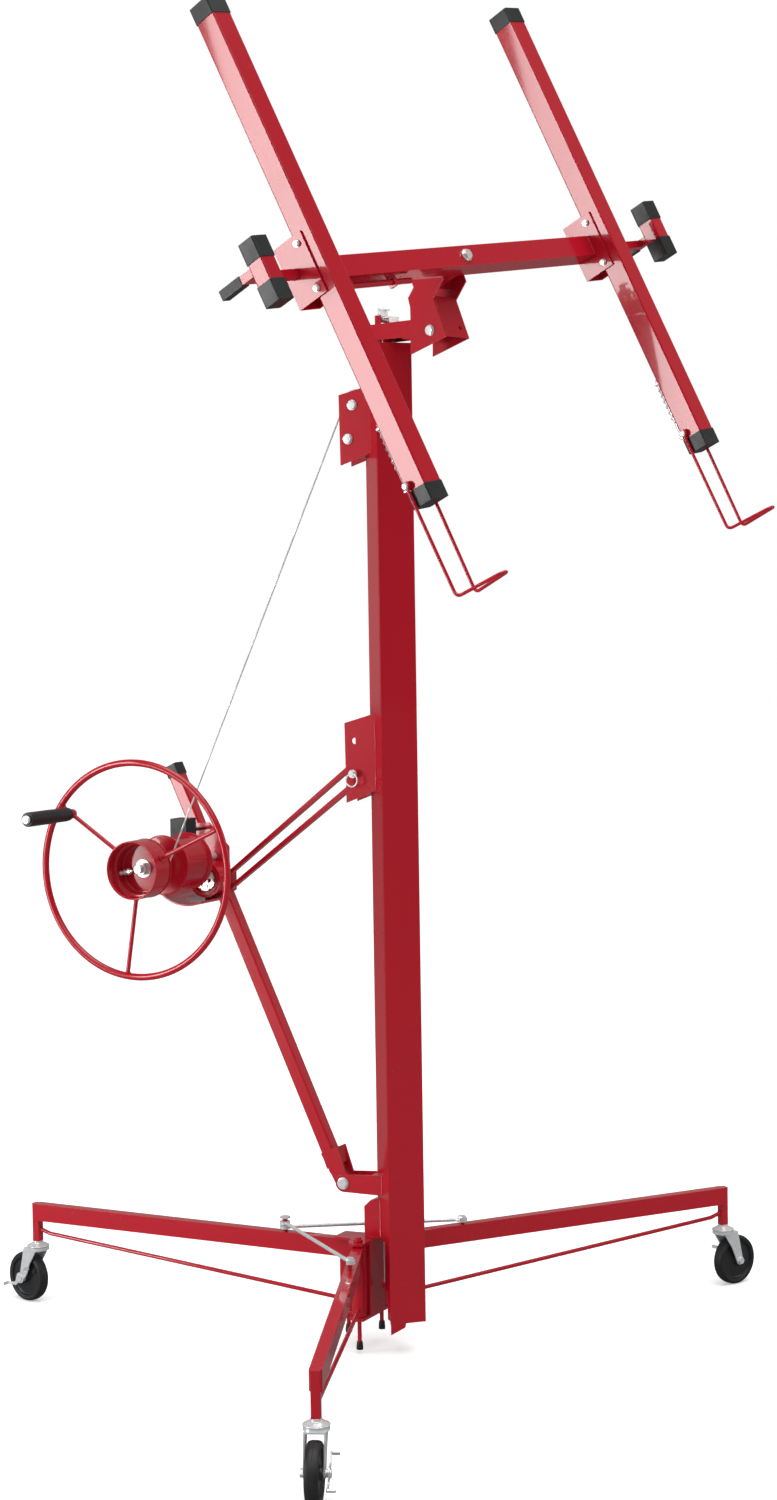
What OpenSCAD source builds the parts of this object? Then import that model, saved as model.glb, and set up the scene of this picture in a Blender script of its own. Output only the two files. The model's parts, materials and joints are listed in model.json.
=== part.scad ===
// Three-section panel lift: folding tripod base on casters, telescoping mast,
// hand-wheel winch on a slanted post, and a tilting cradle with two crossarms.
// Frame: Z up from the floor, Y towards the winch, -Y the front, X along the winch shaft.

/* [Base] */
// Height of the leg tops above the floor
leg_top = 208; // [190:1:230]
// Height of a leg beam
beam_h = 35; // [25:1:45]
// Width of a leg beam
beam_w = 22; // [16:1:30]
// Side of the square caster post
post_side = 16.5; // [15:0.5:22]
// Radius of a caster wheel
wheel_r = 51; // [38:1:63]
// Width of a caster tyre
wheel_w = 24; // [20:1:30]
// Trail of a caster wheel behind its stem
trail = 32; // [20:1:40]

/* [Mast] */
// Outer side of the square mast
mast_side = 70.5; // [60:0.5:90]
// Wall of the mast sections
wall = 2.5; // [2:0.5:4]
// Mast axis in front of the hub centre
mast_back = -29; // [-40:1:-20]
// Lower end of the fixed section
fixed_bottom = 216; // [205:1:230]
// Upper end of the fixed section
fixed_top = 1840; // [1700:5:1900]
// Upper end of the top section
mast_top_z = 1913; // [1860:1:1960]

/* [Winch] */
// Shaft position behind the hub centre
shaft_y = 362; // [330:1:400]
// Shaft height
shaft_z = 941; // [850:1:1050]
// Radius of the hand wheel
hand_r = 200; // [150:5:240]
// Radius of the cable spool
spool_r = 18; // [12:1:30]

/* [Cradle] */
// Turn of the head about the mast
head_turn = -16.1; // [-90:0.1:90]
// Tilt of the cradle from level
tilt = 67.1; // [0:0.1:70]
// Turn of the cradle in its own plane
spin = 9.2; // [-10:0.1:10]
// Half the distance between the crossarms
arm_x = 424; // [350:1:500]
// Side of the square crossarm tube
arm_side = 44; // [35:1:50]
// Side of the square crossbar tube
bar_side = 40; // [35:1:50]

/* [Hidden] */
$fn = 48;
// The frame's origin is the middle of the footprint
shift_x = 36.96;
shift_y = -116.62;
fit = 0.05;
gap = 0.4;
red = [0.65, 0.07, 0.13];
zinc = [0.75, 0.76, 0.78];
black = [0.08, 0.08, 0.09];
// hinge points, lengths and directions of the two folding legs
hinge = [46, 40];
left_len = 785.5;
left_turn = 203;
right_len = 798;
right_turn = -35.7;
rear_start = 64.2;
rear_end = 814;
stud_at = 180;
lock_y = 226;
lock_z = leg_top + 8;
hub_low = 66;
hub_t = 6;
hub_top = leg_top + 1.5;
beam_z = leg_top - beam_h;
post_z = 130;
left_post = [-hinge[0] + left_len * cos(left_turn), hinge[1] + left_len * sin(left_turn)];
right_post = [hinge[0] + right_len * cos(right_turn), hinge[1] + right_len * sin(right_turn)];
rear_post = [0, rear_end];
// caster headings, measured from +X
left_head = 201.5;
right_head = 335;
rear_head = 76;
// mast profile: a square standing on its corner; r values are half diagonals
fixed_r = mast_side / 2 * sqrt(2);
cover_t = 2.5;
slide = 0.8;
mid_low = 120;
mid_high = 1860;
top_low = 64;
tilt_reach = 138;
tilt_z = 1925;
cradle_up = 97.6;
cradle_out = 131.3;
bar_z = -43.5;
arm_low = -452;
arm_high = 492;
sheave_y = 36;
sheave_z = 1802;
sheave_r = 28;
cable_r = 1.6;
// widths from the middle of the sheave: its groove at the rim, its side, and the slot it turns in
groove_half = 7.4;
sheave_half = 8.6;
slot_half = 9.6;
spool_x = -220;
plate_x = -13.6;
// the winch post leans back from the lower lug
lug_y = 84;
lug_z = 292;
post_lean = 24.6;
tube = 27;
post_len = 908;
hook_u = -412;
hook_reach = 204;
hook_z = -12;
hook_gap = 26;
wire = 3;
// a ball where two rods meet is this much thicker than the rods
knuckle = 1.03;

module base() { translate([shift_x, shift_y, 0]) children(); }
module mast() { base() translate([0, mast_back, 0]) children(); }
module winch() { base() translate([0, shaft_y, shaft_z]) children(); }
module head() { mast() rotate([0, 0, head_turn]) children(); }
module tilted() { head() translate([0, -tilt_reach, tilt_z]) rotate([tilt, 0, 0]) children(); }
module cradle() { tilted() translate([0, cradle_up, cradle_out]) rotate([0, 0, spin]) children(); }

// a cylinder along X from a to b
module xcyl(r, a, b) { translate([a, 0, 0]) rotate([0, 90, 0]) cylinder(r = r, h = b - a); }
// a cylinder along Y from a to b
module ycyl(r, a, b) { translate([0, b, 0]) rotate([90, 0, 0]) cylinder(r = r, h = b - a); }
// a round bar between two points
module bar(p, q, r) {
    d = q - p;
    l = norm(d);
    translate(p) rotate([0, acos(d[2] / l), atan2(d[1], d[0])]) cylinder(r = r, h = l);
}
// a box from one corner to the other
module box(a, b) { translate(a) cube(b - a); }
// a plate across X, outlined in Y and Z
module xplate(pts, a, b) {
    translate([a, 0, 0]) rotate([90, 0, 90]) linear_extrude(b - a) polygon(pts);
}
// a square with rounded corners
module round_square(s, r) {
    square([s, s - 2 * r], center = true);
    square([s - 2 * r, s], center = true);
    for (x = [-1, 1], y = [-1, 1]) translate([x, y] * (s / 2 - r)) circle(r, $fn = 24);
}
// a hexagon head along X
module hex_x(af, a, b) {
    translate([a, 0, 0]) rotate([0, 90, 0]) cylinder(r = af / sqrt(3), h = b - a, $fn = 6);
}

// ---------------------------------------------------------------- base

hub_shape = [[-60, 24], [60, 24], [66, 40], [56, 57], [26, 64], [22, 104],
             [-22, 104], [-26, 64], [-56, 57], [-66, 40]];
module hub() color(red) base() {
    difference() {
        for (z = [hub_low, hub_top]) translate([0, 0, z]) linear_extrude(hub_t) polygon(hub_shape);
        for (x = [-1, 1]) translate([x * hinge[0], hinge[1], 0]) cylinder(r = 6 + fit, h = 300);
    }
    difference() {
        box([-22, 28, hub_low + hub_t], [22, 64, hub_top]);
        box([-19, 31, hub_low], [19, 61, hub_top + 1]);
    }
    box([-30, 24, hub_low + hub_t], [30, 28, hub_top]);
    // square peg that carries the mast socket
    box([-9, 22, hub_top + hub_t], [9, 40, 274]);
}

// leg drawn along +X from its hinge, with a square post at its end
module leg_body(start, len) {
    difference() {
        union() {
            box([start, -beam_w / 2, beam_z], [len, beam_w / 2, leg_top]);
            translate([len, 0, post_z]) linear_extrude(leg_top - post_z) round_square(post_side, 2);
        }
        box([start + 3, -beam_w / 2 + 2.5, beam_z + 2.5], [len - post_side / 2, beam_w / 2 - 2.5, leg_top - 2.5]);
        translate([len, 0, post_z - 1]) cylinder(r = 6 + fit, h = 46);
    }
    // truss rod, its lower end turned into the post
    bar([start + 2, 0, hub_low + 20], [len - 30, 0, post_z + 17], 4);
    bar([len - 30, 0, post_z + 17], [len - 7.5, 0, post_z + 24], 4);
    translate([len - 30, 0, post_z + 17]) sphere(r = 4 * knuckle);
}
module folding_leg(len, stud) {
    difference() {
        union() {
            leg_body(11, len);
            translate([0, 0, hub_low + hub_t + gap]) cylinder(r = 13, h = leg_top - hub_low - hub_t);
            box([11, -2.5, beam_z - 40], [44, 2.5, beam_z + 1]);
        }
        translate([0, 0, hub_low]) cylinder(r = 6 + fit, h = 200);
    }
    // stud that takes the hooked end of the lock rod
    translate([stud_at, 0, leg_top - 1]) cylinder(r = 5, h = stud);
    translate([stud_at, 0, leg_top - 1 + stud]) cylinder(r = 6.5, h = 2);
}
module leg_rear() color(red) base() {
    rotate([0, 0, 90]) {
        leg_body(rear_start, rear_end);
        box([rear_start, -2.5, hub_low + hub_t + 0.2], [rear_start + 40, 2.5, beam_z + 1]);
    }
    translate([0, lock_y, leg_top - 1]) cylinder(r = 5, h = 27);
    translate([0, lock_y, leg_top + 25.6]) cylinder(r = 8, h = 3);
}
module leg_left() color(red) base() translate([-hinge[0], hinge[1], 0]) rotate([0, 0, left_turn])
    folding_leg(left_len, 22);
module leg_right() color(red) base() translate([hinge[0], hinge[1], 0]) rotate([0, 0, right_turn])
    folding_leg(right_len, 14);

module hinge_rods() color(red) base() {
    for (i = [-1, 1]) translate([i * hinge[0], hinge[1], 0]) {
        translate([0, 0, hub_low - 4]) cylinder(r = 6, h = 163);
        translate([0, 0, i < 0 ? 14 : 30]) cylinder(r = 4, h = hub_low - 3.9 - (i < 0 ? 14 : 30));
    }
    for (i = [-1, 1]) translate([i * hinge[0], hinge[1], hub_top + hub_t + 0.2]) cylinder(r = 9, h = 5);
    translate([0, 88, 30]) cylinder(r = 4, h = hub_low - 30);
}
module end_caps() color(black) {
    rod_tips();
    post_cap();
}
module rod_tips() base() for (p = [[-hinge[0], hinge[1], 8], [hinge[0], hinge[1], 24], [0, 88, 24]])
    translate(p) {
        cylinder(r = 6.5, h = 6);
        difference() {
            translate([0, 0, 6]) cylinder(r1 = 6.5, r2 = 5.5, h = 10);
            translate([0, 0, 5.9]) cylinder(r = 4 + fit, h = 11);
        }
    }

// lock rod drawn along +X from its pivot; side tells on which side its hook opens
module lock_rod(len, side, z) {
    translate([0, 0, z]) {
        difference() {
            union() {
                bar([8, 0, 0], [len - 12.2, 0, 0], 3.5);
                translate([len - 12.4, 0, 0]) rotate([0, 0, -side * 38]) bar([0, 0, 0], [9, 0, 0], 3.4);
                cylinder(r = 10, h = 7, center = true);
                translate([len, 0, 0]) cylinder(r = 10.5, h = 7, center = true);
            }
            cylinder(r = 5 + fit, h = 9, center = true);
            translate([len, 0, 0]) cylinder(r = 5.6, h = 9, center = true);
            translate([len - 12, side > 0 ? 0 : -14, -5]) cube([17.6, 14, 10]);
        }
    }
}
function polar(p, q) = [norm(q - p), atan2(q[1] - p[1], q[0] - p[0])];
left_stud = [-hinge[0] + stud_at * cos(left_turn), hinge[1] + stud_at * sin(left_turn)];
right_stud = [hinge[0] + stud_at * cos(right_turn), hinge[1] + stud_at * sin(right_turn)];
left_rod = polar([0, lock_y], left_stud);
right_rod = polar([0, lock_y], right_stud);
module lock_rod_left() color(zinc) base() translate([0, lock_y, 0]) rotate([0, 0, left_rod[1]])
    lock_rod(left_rod[0], -1, lock_z + 8.2);
module lock_rod_right() color(zinc) base() translate([0, lock_y, 0]) rotate([0, 0, right_rod[1]])
    lock_rod(right_rod[0], 1, lock_z);

// ---------------------------------------------------------------- casters

module at_caster(post, heading) { base() translate([post[0], post[1], 0]) rotate([0, 0, heading]) children(); }
module race() color(zinc) {
    translate([0, 0, 118]) cylinder(r = 23, h = 3);
    translate([0, 0, 121]) cylinder(r1 = 21, r2 = 12, h = 4);
    translate([0, 0, 125]) cylinder(r = 10, h = post_z - 125.2);
    translate([0, 0, 106]) cylinder(r = 6, h = 68);
}
module fork() color(zinc) {
    difference() {
        union() {
            translate([0, 0, 111]) cylinder(r = 22, h = 6.7);
            box([-12, -18, 111], [26, 18, 114]);
        }
        translate([0, 0, 100]) cylinder(r = 6 + fit, h = 30);
        translate([0, 0, 116]) difference() {
            cylinder(r = 19, h = 3);
            cylinder(r = 16, h = 3);
        }
    }
    for (y = [-1, 1]) translate([0, y * 16.75, 0]) rotate([90, 0, 0]) translate([0, 0, -1.25])
        linear_extrude(2.5) {
            polygon([[-12, 113.5], [26, 113.5], [40.5, 52], [38, 45], [32, 42.5], [25.5, 46], [8, 84], [-2, 98]]);
            translate([trail, wheel_r]) circle(8.5);
        }
    // axle bolt with its head and nut
    translate([trail, 0, wheel_r]) {
        ycyl(4, -23, 27.5);
        ycyl(6.5, 18.1, 22);
        ycyl(7, 25.3, 27.6);
        translate([0, -18.1, 0]) rotate([90, 0, 0]) cylinder(r = 7.5, h = 5, $fn = 6);
    }
}
module wheel() color(black) translate([trail, 0, wheel_r]) rotate([90, 0, 0]) difference() {
    rotate_extrude($fn = 72) polygon([[4 + fit, -14], [11, -14], [12, -9], [38, -7], [40, -11], [47, -12],
        [50, -9], [wheel_r, -4], [wheel_r, 4], [50, 9], [47, 12], [40, 11], [38, 7], [12, 9], [11, 14],
        [4 + fit, 14]]);
    for (a = [0:60:300]) rotate([0, 0, a]) translate([25, 0, 5]) cylinder(r = 6, h = 6);
}
// foot lever that turns about the axle, outside the fork
module brake() color(zinc) translate([trail, 22.4, wheel_r]) rotate([0, 32, 0]) {
    rotate([90, 0, 0]) translate([0, 0, -2.5]) linear_extrude(2.5) difference() {
        union() {
            circle(11);
            polygon([[-34, 4], [-20, -5], [0, -11], [20, -8], [40, 4], [40, 8], [18, -1], [8, 9], [-8, 9],
                     [-20, 2], [-34, 9]]);
        }
        circle(4.3);
    }
    box([-36, 0, 3], [-33.5, 16, 10]);
    box([38, 0, 3], [40.5, 16, 9]);
}
module race_left() at_caster(left_post, 0) race();
module race_right() at_caster(right_post, 0) race();
module race_rear() at_caster(rear_post, 0) race();
module fork_left() at_caster(left_post, left_head) fork();
module fork_right() at_caster(right_post, right_head) fork();
module fork_rear() at_caster(rear_post, rear_head) fork();
module wheel_left() at_caster(left_post, left_head) wheel();
module wheel_right() at_caster(right_post, right_head) wheel();
module wheel_rear() at_caster(rear_post, rear_head) wheel();
module brake_left() at_caster(left_post, left_head) brake();
module brake_right() at_caster(right_post, right_head) brake();
module brake_rear() at_caster(rear_post, rear_head) brake();

// ---------------------------------------------------------------- mast

// outline of a square on its corner, half diagonal r, with its rear corner cut at y = cut
function diamond(r, cut) = [[0, -r], [r, 0], [r - cut, cut], [cut - r, cut], [-r, 0]];
module mast_fixed() color(red) mast() difference() {
    translate([0, 0, fixed_bottom]) linear_extrude(fixed_top - fixed_bottom) rotate(45) difference() {
        translate([-mast_side / 2 + 3.5, -mast_side / 2 + 3.5]) square(mast_side - 3.5);
        translate([-mast_side / 2 + 3.5 + wall, -mast_side / 2 + 3.5 + wall])
            square(mast_side - 3.5 - 2 * wall);
        translate([-mast_side / 2, -mast_side / 2]) square(33);
    }
    // slot that lets the sheave reach into the mast
    box([-slot_half, 20, sheave_z - 38], [slot_half, 60, fixed_top + 1]);
}
// the inner sections sit a little towards the rear, inside the front walls of the fixed one
mid_r = 42.7;
mid_cut = 26;
inner_back = 2.47;
// wall of a section on its corner, its rear corner cut at y = cut from the mast axis
module tube_outline(r, cut) difference() {
    polygon(diamond(r, cut - inner_back));
    polygon(diamond(r - wall * sqrt(2), cut - inner_back - wall));
}
module mast_middle() color(red) mast() {
    translate([0, 0, mid_low]) linear_extrude(mid_high - mid_low) difference() {
        translate([0, inner_back]) tube_outline(mid_r, mid_cut);
        translate([0, inner_back - mid_r - 1]) rotate(45) square(26, center = true);
    }
    // anchor for the lift cable, behind the section
    difference() {
        translate([0, mid_cut, mid_low]) linear_extrude(10)
            polygon([[-7, -0.5], [7, -0.5], [7, 12.5], [4, 15.5], [-4, 15.5], [-7, 12.5]]);
        translate([0, sheave_y - sheave_r - mast_back, mid_low - 1]) cylinder(r = 2.4, h = 12);
    }
}
top_r = 38.04;
top_cut = 22.5;
module mast_top() color(red) mast() {
    translate([0, 0, top_low]) linear_extrude(mast_top_z - top_low) {
        translate([0, inner_back]) tube_outline(top_r, top_cut);
        // front cover that closes the mast, joined by a rib
        rotate(45) difference() {
            translate([-mast_side / 2, -mast_side / 2]) square(mast_side - 0.3);
            translate([-mast_side / 2 + cover_t, -mast_side / 2 + cover_t]) square(mast_side);
        }
        rotate(45) translate([-mast_side / 2 + 0.1, -mast_side / 2 + 0.1]) square(12);
    }
    // closing plate and swivel stud
    translate([0, 0, mast_top_z - 6]) linear_extrude(6) rotate(45)
        translate([-mast_side / 2 + 0.1, -mast_side / 2 + 0.1]) square(mast_side - 0.5);
    translate([0, 0, mast_top_z - 1]) cylinder(r = 8, h = 32);
    // kicked-out foot flap
    mast_flap();
}
module mast_flap() rotate([0, 0, 225]) {
    translate([0, 0, top_low]) rotate([90, 0, 90]) translate([0, 0, mast_side / 2 - cover_t])
        linear_extrude(cover_t) polygon([[-34, 0.5], [-4, 0.5], [-6, -8], [-34, -20]]);
}
module outside_mast() difference() {
    children();
    translate([0, mast_back, -10]) rotate(45) translate([-50, -50]) linear_extrude(2500)
        square(mast_side / 2 + 50.08);
}
module mast_foot() color(red) base() {
    socket();
    lug();
}
module socket() difference() {
    outside_mast() union() {
        box([-12.5, 8, hub_top + hub_t + 0.4], [12.5, 44, 268]);
        xplate([[4, 218], [44, 218], [44, 277], [30, 290], [4, 298]], -12.5, 12.5);
    }
    box([-9.3, 21.7, 200], [9.3, 40.3, 274.4]);
}
// side plates of a bracket on the rear corner, open to the rear
module u_plates(pts, half) outside_mast() {
    for (s = [-1, 1]) xplate(pts, s * (half - 1.5) - 1.5, s * (half - 1.5) + 1.5);
    intersection() {
        xplate(pts, -half, half);
        box([-half, -20, 0], [half, 24, 2500]);
    }
}
module lug() difference() {
    u_plates([[-6, 302], for (a = [-90:15:90]) [lug_y + 17 * cos(a), lug_z + 27 + 17 * sin(a)], [-6, 342]], 21);
    translate([0, lug_y, lug_z + 27]) xcyl(6 + fit, -30, 30);
    box([-17.9, 24.1, 0], [17.9, 120, 2000]);
}
module mast_brackets() color(red) base() {
    brace_plates();
    pulley_plates();
}
module brace_plates() difference() {
    u_plates([[-6, 1078], [62, 1052], [64, 1204], [-6, 1224]], 23);
    translate([0, 43, 1108]) xcyl(5 + fit, -30, 30);
    translate([0, 43, 1170]) xcyl(6, -30, 30);
    box([-19.9, 24.1, 0], [19.9, 120, 2000]);
}
module pulley_plates() difference() {
    u_plates([[-6, 1712], [63, 1690], [65, 1822], [-6, 1838]], 23);
    translate([0, sheave_y, sheave_z]) xcyl(5 + fit, -30, 30);
    translate([0, 46, 1739]) xcyl(5 + fit, -30, 30);
    box([-19.9, 24.1, 0], [19.9, 120, 2000]);
    box([-slot_half, -10, sheave_z - 38], [slot_half, 40, 1850]);
}
module through_bolt(y, z, r, half) translate([0, y, z]) {
    xcyl(r, -half - 6, half + 6);
    xcyl(r * 2, -half - 1.6, -half - 0.1);
    xcyl(r * 2, half + 0.1, half + 1.6);
    hex_x(r * 3.2, -half - 6, -half - 1.6);
    hex_x(r * 3.2, half + 1.6, half + 6);
}
module mast_bolts() color(zinc) base() {
    through_bolt(sheave_y, sheave_z, 5, 23);
    through_bolt(46, 1739, 5, 23);
    through_bolt(lug_y, lug_z + 27, 6, 21);
    through_bolt(358, 893, 5, 18.6);
}
module sheave() color(zinc) base() translate([0, sheave_y, sheave_z]) rotate([0, 90, 0])
    rotate_extrude($fn = 72) polygon([[5 + fit, -sheave_half], [31, -sheave_half], [31, -groove_half],
        [sheave_r - cable_r - 0.3, -1.4], [sheave_r - cable_r - 0.3, 1.4], [31, groove_half],
        [31, sheave_half], [5 + fit, sheave_half]]);
module hitch_pin() color(zinc) base() translate([0, 43, 1108]) {
    xcyl(5, -39, 30);
    xcyl(8, -34, -31);
    // pull ring
    translate([-36.5, 0, -12]) rotate([0, 90, 0]) rotate_extrude() translate([12, 0]) circle(1.6, $fn = 16);
}

// ---------------------------------------------------------------- winch

module post_frame() { base() translate([0, lug_y, lug_z]) rotate([-post_lean, 0, 0]) children(); }
module winch_post() color(red) difference() {
    union() {
        post_frame() translate([0, 0, 52]) linear_extrude(post_len - 58) difference() {
            round_square(tube, 4);
            round_square(tube - 5, 2);
        }
        // foot fork that straddles the lower lug bolt
        base() for (s = [-1, 1]) xplate([[70, 306], [96, 306], [134, 372], [98, 388]], s * 15.7 - 1.9, s * 15.7 + 1.9);
        base() xplate([[92, 356], [122, 342], [134, 372], [98, 388]], -15, 15);
        // mounting plate of the winch
        winch() xplate([[-34, -70], [14, -70], [48, 20], [66, 62], [10, 66], [-34, 20]], plate_x - 5, plate_x);
    }
    base() translate([0, lug_y, lug_z + 27]) xcyl(6 + fit, -30, 30);
    base() translate([0, 358, 893]) xcyl(5 + fit, -30, 30);
    winch() xcyl(8 + fit, -30, 30);
}
module post_cap() post_frame() translate([0, 0, post_len - 5.8]) {
    linear_extrude(6) round_square(tube + 4, 5.5);
    translate([0, 0, -18]) linear_extrude(18) difference() {
        round_square(tube + 4, 5.5);
        round_square(tube + 0.2, 4);
    }
    translate([0, 0, -14]) linear_extrude(14) round_square(tube - 5.4, 2);
}
brace_a = [43, 1108];
brace_b = [358, 893];
module brace() color(red) base() difference() {
    union() {
        for (dz = [-19, 19]) xplate([for (p = [[22, -6 + dz], [-22, -6 + dz], [-22, 6 + dz], [22, 6 + dz]])
            (p[0] > 0 ? brace_a + [10, p[1]] : brace_b + [-24, p[1] * 0.8])], -7, 7);
        xplate([brace_a + [-12, -26], brace_a + [14, -26], brace_a + [14, 26], brace_a + [-12, 26]], -19.4, 19.4);
        xplate([brace_b + [-26, -20], brace_b + [-16, -26], brace_b + [-16, 14], brace_b + [-26, 20]], -13.2, 18.3);
        // one cheek; the mounting plate of the winch is the other
        xplate([brace_b + [-20, -20], brace_b + [14, -14], brace_b + [14, 12], brace_b + [-20, 18]], 14.1, 18.3);
    }
    translate([0, brace_a[0], brace_a[1]]) xcyl(5 + fit, -30, 30);
    translate([0, brace_b[0], brace_b[1]]) xcyl(5 + fit, -30, 30);
    // room for the post tube between the cheeks
    translate([0, lug_y, lug_z]) rotate([-post_lean, 0, 0]) box([-tube / 2 - 0.3, -tube / 2 - 0.3, 500],
        [tube / 2 + 0.3, tube / 2 + 0.3, 900]);
}
module winch_guard() color(red) winch() difference() {
    union() {
        // trough below the drum
        rotate([0, 90, 0]) translate([0, 0, -125]) rotate([0, 0, -24]) rotate_extrude(angle = 84, $fn = 96)
            translate([84, 0]) square([3, 106]);
        translate([0, -4, -42]) {
            xcyl(35, -60, -19);
            xcyl(30, -62, -60);
        }
        xplate([[-34, -70], [-20, -86], [20, -86], [14, -70]], -23, -19);
    }
    translate([0, -4, -42]) {
        xcyl(6 + fit, -70, -26.5);
        xcyl(27, -64, -56);
    }
    // room for the head of the brace bolt, and for the shaft
    translate([0, -4, -48]) xcyl(13, -25.5, -18);
    xcyl(8.6, -70, -10);
}
module ratchet() color(zinc) winch() translate([0, -4, -42]) {
    xcyl(6, -63, -27);
    difference() {
        rotate([0, 90, 0]) translate([0, 0, -60]) cylinder(r = 22, h = 3.5, $fn = 40);
        for (a = [0:30:330]) rotate([a, 0, 0]) translate([0, 24, 0]) xcyl(3, -62, -55);
    }
    translate([0, 9, 8]) xcyl(5, -62, -57);
    xplate([[-16, -6], [0, -9], [10, 0], [0, 8], [-12, 4]], -62, -60.1);
}
module brake_cover() color(black) winch() {
    box([-111.4, 4, 44], [-74, 40, 80]);
    box([-74, 20, 51.5], [-18.8, 34, 57]);
}
module spool() color(red) winch() difference() {
    union() {
        xcyl(spool_r, -262, -204);
        xcyl(57, -204, -200);
        xcyl(56, -262.2, -260);
    }
    xcyl(8 + fit, -300, -100);
}
module brake_drum() color(red) winch() {
    drum_shell();
    drum_web();
}
module drum_shell() difference() {
    union() {
        xcyl(50, -199.8, -112);
        xcyl(55, -116, -112);
        xcyl(53, -199.8, -194);
    }
    xcyl(8 + fit, -300, -100);
    xcyl(44, -190, -100);
}
module hub_cup() color(red) winch() difference() {
    xcyl(55, -312, -262.4);
    xcyl(51, -313, -270);
    xcyl(8 + fit, -300, -200);
}
module shaft() color(zinc) winch() {
    xcyl(8, -292, -9);
    xcyl(17, -273, -270.2);
    hex_x(24, -284, -273);
    // cross bolt and its nut on the cup floor
    translate([-279, 0, 0]) ycyl(2.5, 22, 48);
    translate([-279, 0, 0]) ycyl(6, 22, 28);
    translate([-279, 0, 0]) ycyl(5, 34, 38);
}
module drum_web() difference() {
    xcyl(44, -140, -134);
    xcyl(8 + fit, -150, -130);
}
spokes = [36, 156, 276];
module handwheel() color(red) winch() {
    translate([-300, 0, 0]) rotate([0, 90, 0]) rotate_extrude($fn = 120) translate([hand_r, 0])
        circle(6.5, $fn = 24);
    for (a = [spokes[1], spokes[2]]) rotate([a, 0, 0]) spoke();
    // the first spoke carries the crank
    rotate([spokes[0], 0, 0]) difference() {
        union() {
            spoke();
            translate([0, 173, 0]) xcyl(9, -306, -294);
        }
        translate([0, 173, 0]) xcyl(5 + fit, -310, -290);
    }
}
module spoke() bar([-288, 55.8, 0], [-300, hand_r, 0], 4);
module crank_spindle() color(zinc) winch() rotate([spokes[0], 0, 0]) translate([0, 173, 0]) {
    xcyl(5, -444, -292);
    xcyl(8, -293.8, -291);
    xcyl(8, -447, -443);
}
module crank_grip() color(black) winch() rotate([spokes[0], 0, 0]) translate([0, 173, 0])
    rotate([0, -90, 0]) translate([0, 0, 307]) rotate_extrude() polygon([[5 + fit, 0], [11, 0], [13, 4],
        [13.5, 60], [13, 128], [11, 134], [5 + fit, 134]]);

// ---------------------------------------------------------------- cable

cable_top = [0, sheave_y + sheave_r * cos(19.6), sheave_z + sheave_r * sin(19.6)];
cable_low = [spool_x, shaft_y - (spool_r + cable_r + 0.3) * cos(19.6),
    shaft_z - (spool_r + cable_r + 0.3) * sin(19.6)];
module cable() color(zinc) base() {
    bar(cable_top, cable_low, cable_r);
    translate(cable_top) sphere(r = cable_r * knuckle);
    // over the sheave, from the winch side to the inside of the mast
    translate([0, sheave_y, sheave_z]) rotate([90, 0, 90]) rotate([0, 0, 19.6])
        rotate_extrude(angle = 160.4, $fn = 72) translate([sheave_r, 0]) circle(cable_r, $fn = 16);
}
module cable_coil() color(zinc) winch() for (i = [0:3]) translate([spool_x - 14 + i * 3.5, 0, 0])
    rotate([0, 90, 0]) rotate_extrude($fn = 48) translate([spool_r + cable_r + 0.1, 0])
        circle(cable_r - 0.1, $fn = 16);
module cable_inner() color(zinc) base() translate([0, sheave_y - sheave_r, mid_low + 2])
    cylinder(r = cable_r, h = sheave_z - mid_low - 2.3, $fn = 16);

// ---------------------------------------------------------------- head

box_z = mast_top_z + 6;
module head_box() color(red) head() {
    head_channel();
    latch_lug();
}
module head_channel() difference() {
    union() {
        difference() {
            box([-27, -151, box_z], [27, 22, box_z + 30]);
            box([-24, -160, box_z - 1], [24, 19, box_z + 27]);
        }
        translate([0, 0, box_z - 3]) cylinder(r = 16, h = 31);
        for (s = [-1, 1]) xplate([[-151, box_z + 20], [-151, box_z - 6], [-140, box_z - 11], [-120, box_z - 11],
            [-62, box_z - 3], [-62, box_z + 20]], s * 25.5 - 1.5, s * 25.5 + 1.5);
    }
    translate([0, 0, box_z - 4]) cylinder(r = 8 + fit, h = 32);
    translate([0, -tilt_reach, tilt_z]) xcyl(5 + fit, -40, 40);
    translate([0, -151, box_z + 30]) rotate([45, 0, 0]) cube([80, 11, 11], center = true);
    translate([0, 8, box_z + 38]) xcyl(3 + fit, -30, 30);
}
module latch() color(zinc) head() translate([0, 10, box_z + 41]) {
    difference() {
        union() {
            xcyl(6, -12, 12);
            box([-12, -26, 0], [12, 2, 3]);
            box([-12, -29, -10.4], [12, -26, 3]);
            box([-12, 0, 0], [12, 3, 20]);
            box([-12, -6, 17], [12, 3, 20]);
        }
        xcyl(3 + fit, -20, 20);
    }
}
module latch_lug() translate([0, 10, box_z + 41]) {
    for (s = [-1, 1]) difference() {
        box([s * 14.4 - 1.5, -7, -10.9], [s * 14.4 + 1.5, 7, 7]);
        xcyl(3 + fit, -20, 20);
    }
    xcyl(3, -18, 18);
}
module tilt_bolt() color(zinc) head() translate([0, -tilt_reach, tilt_z]) {
    xcyl(5, -38, 38);
    for (s = [-1, 1]) {
        translate([s * 33.2, 0, 0]) xcyl(10, -1, 1);
        translate([s * 36.2, 0, 0]) hex_x(15, -2, 2);
    }
}
yoke_side = [[-17, -62], [-28, 30], [50, 30], [70, 66], [124, 66], [124, -6], [91, -6], [80, -26], [62, -28],
    [42, -36]];
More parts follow.
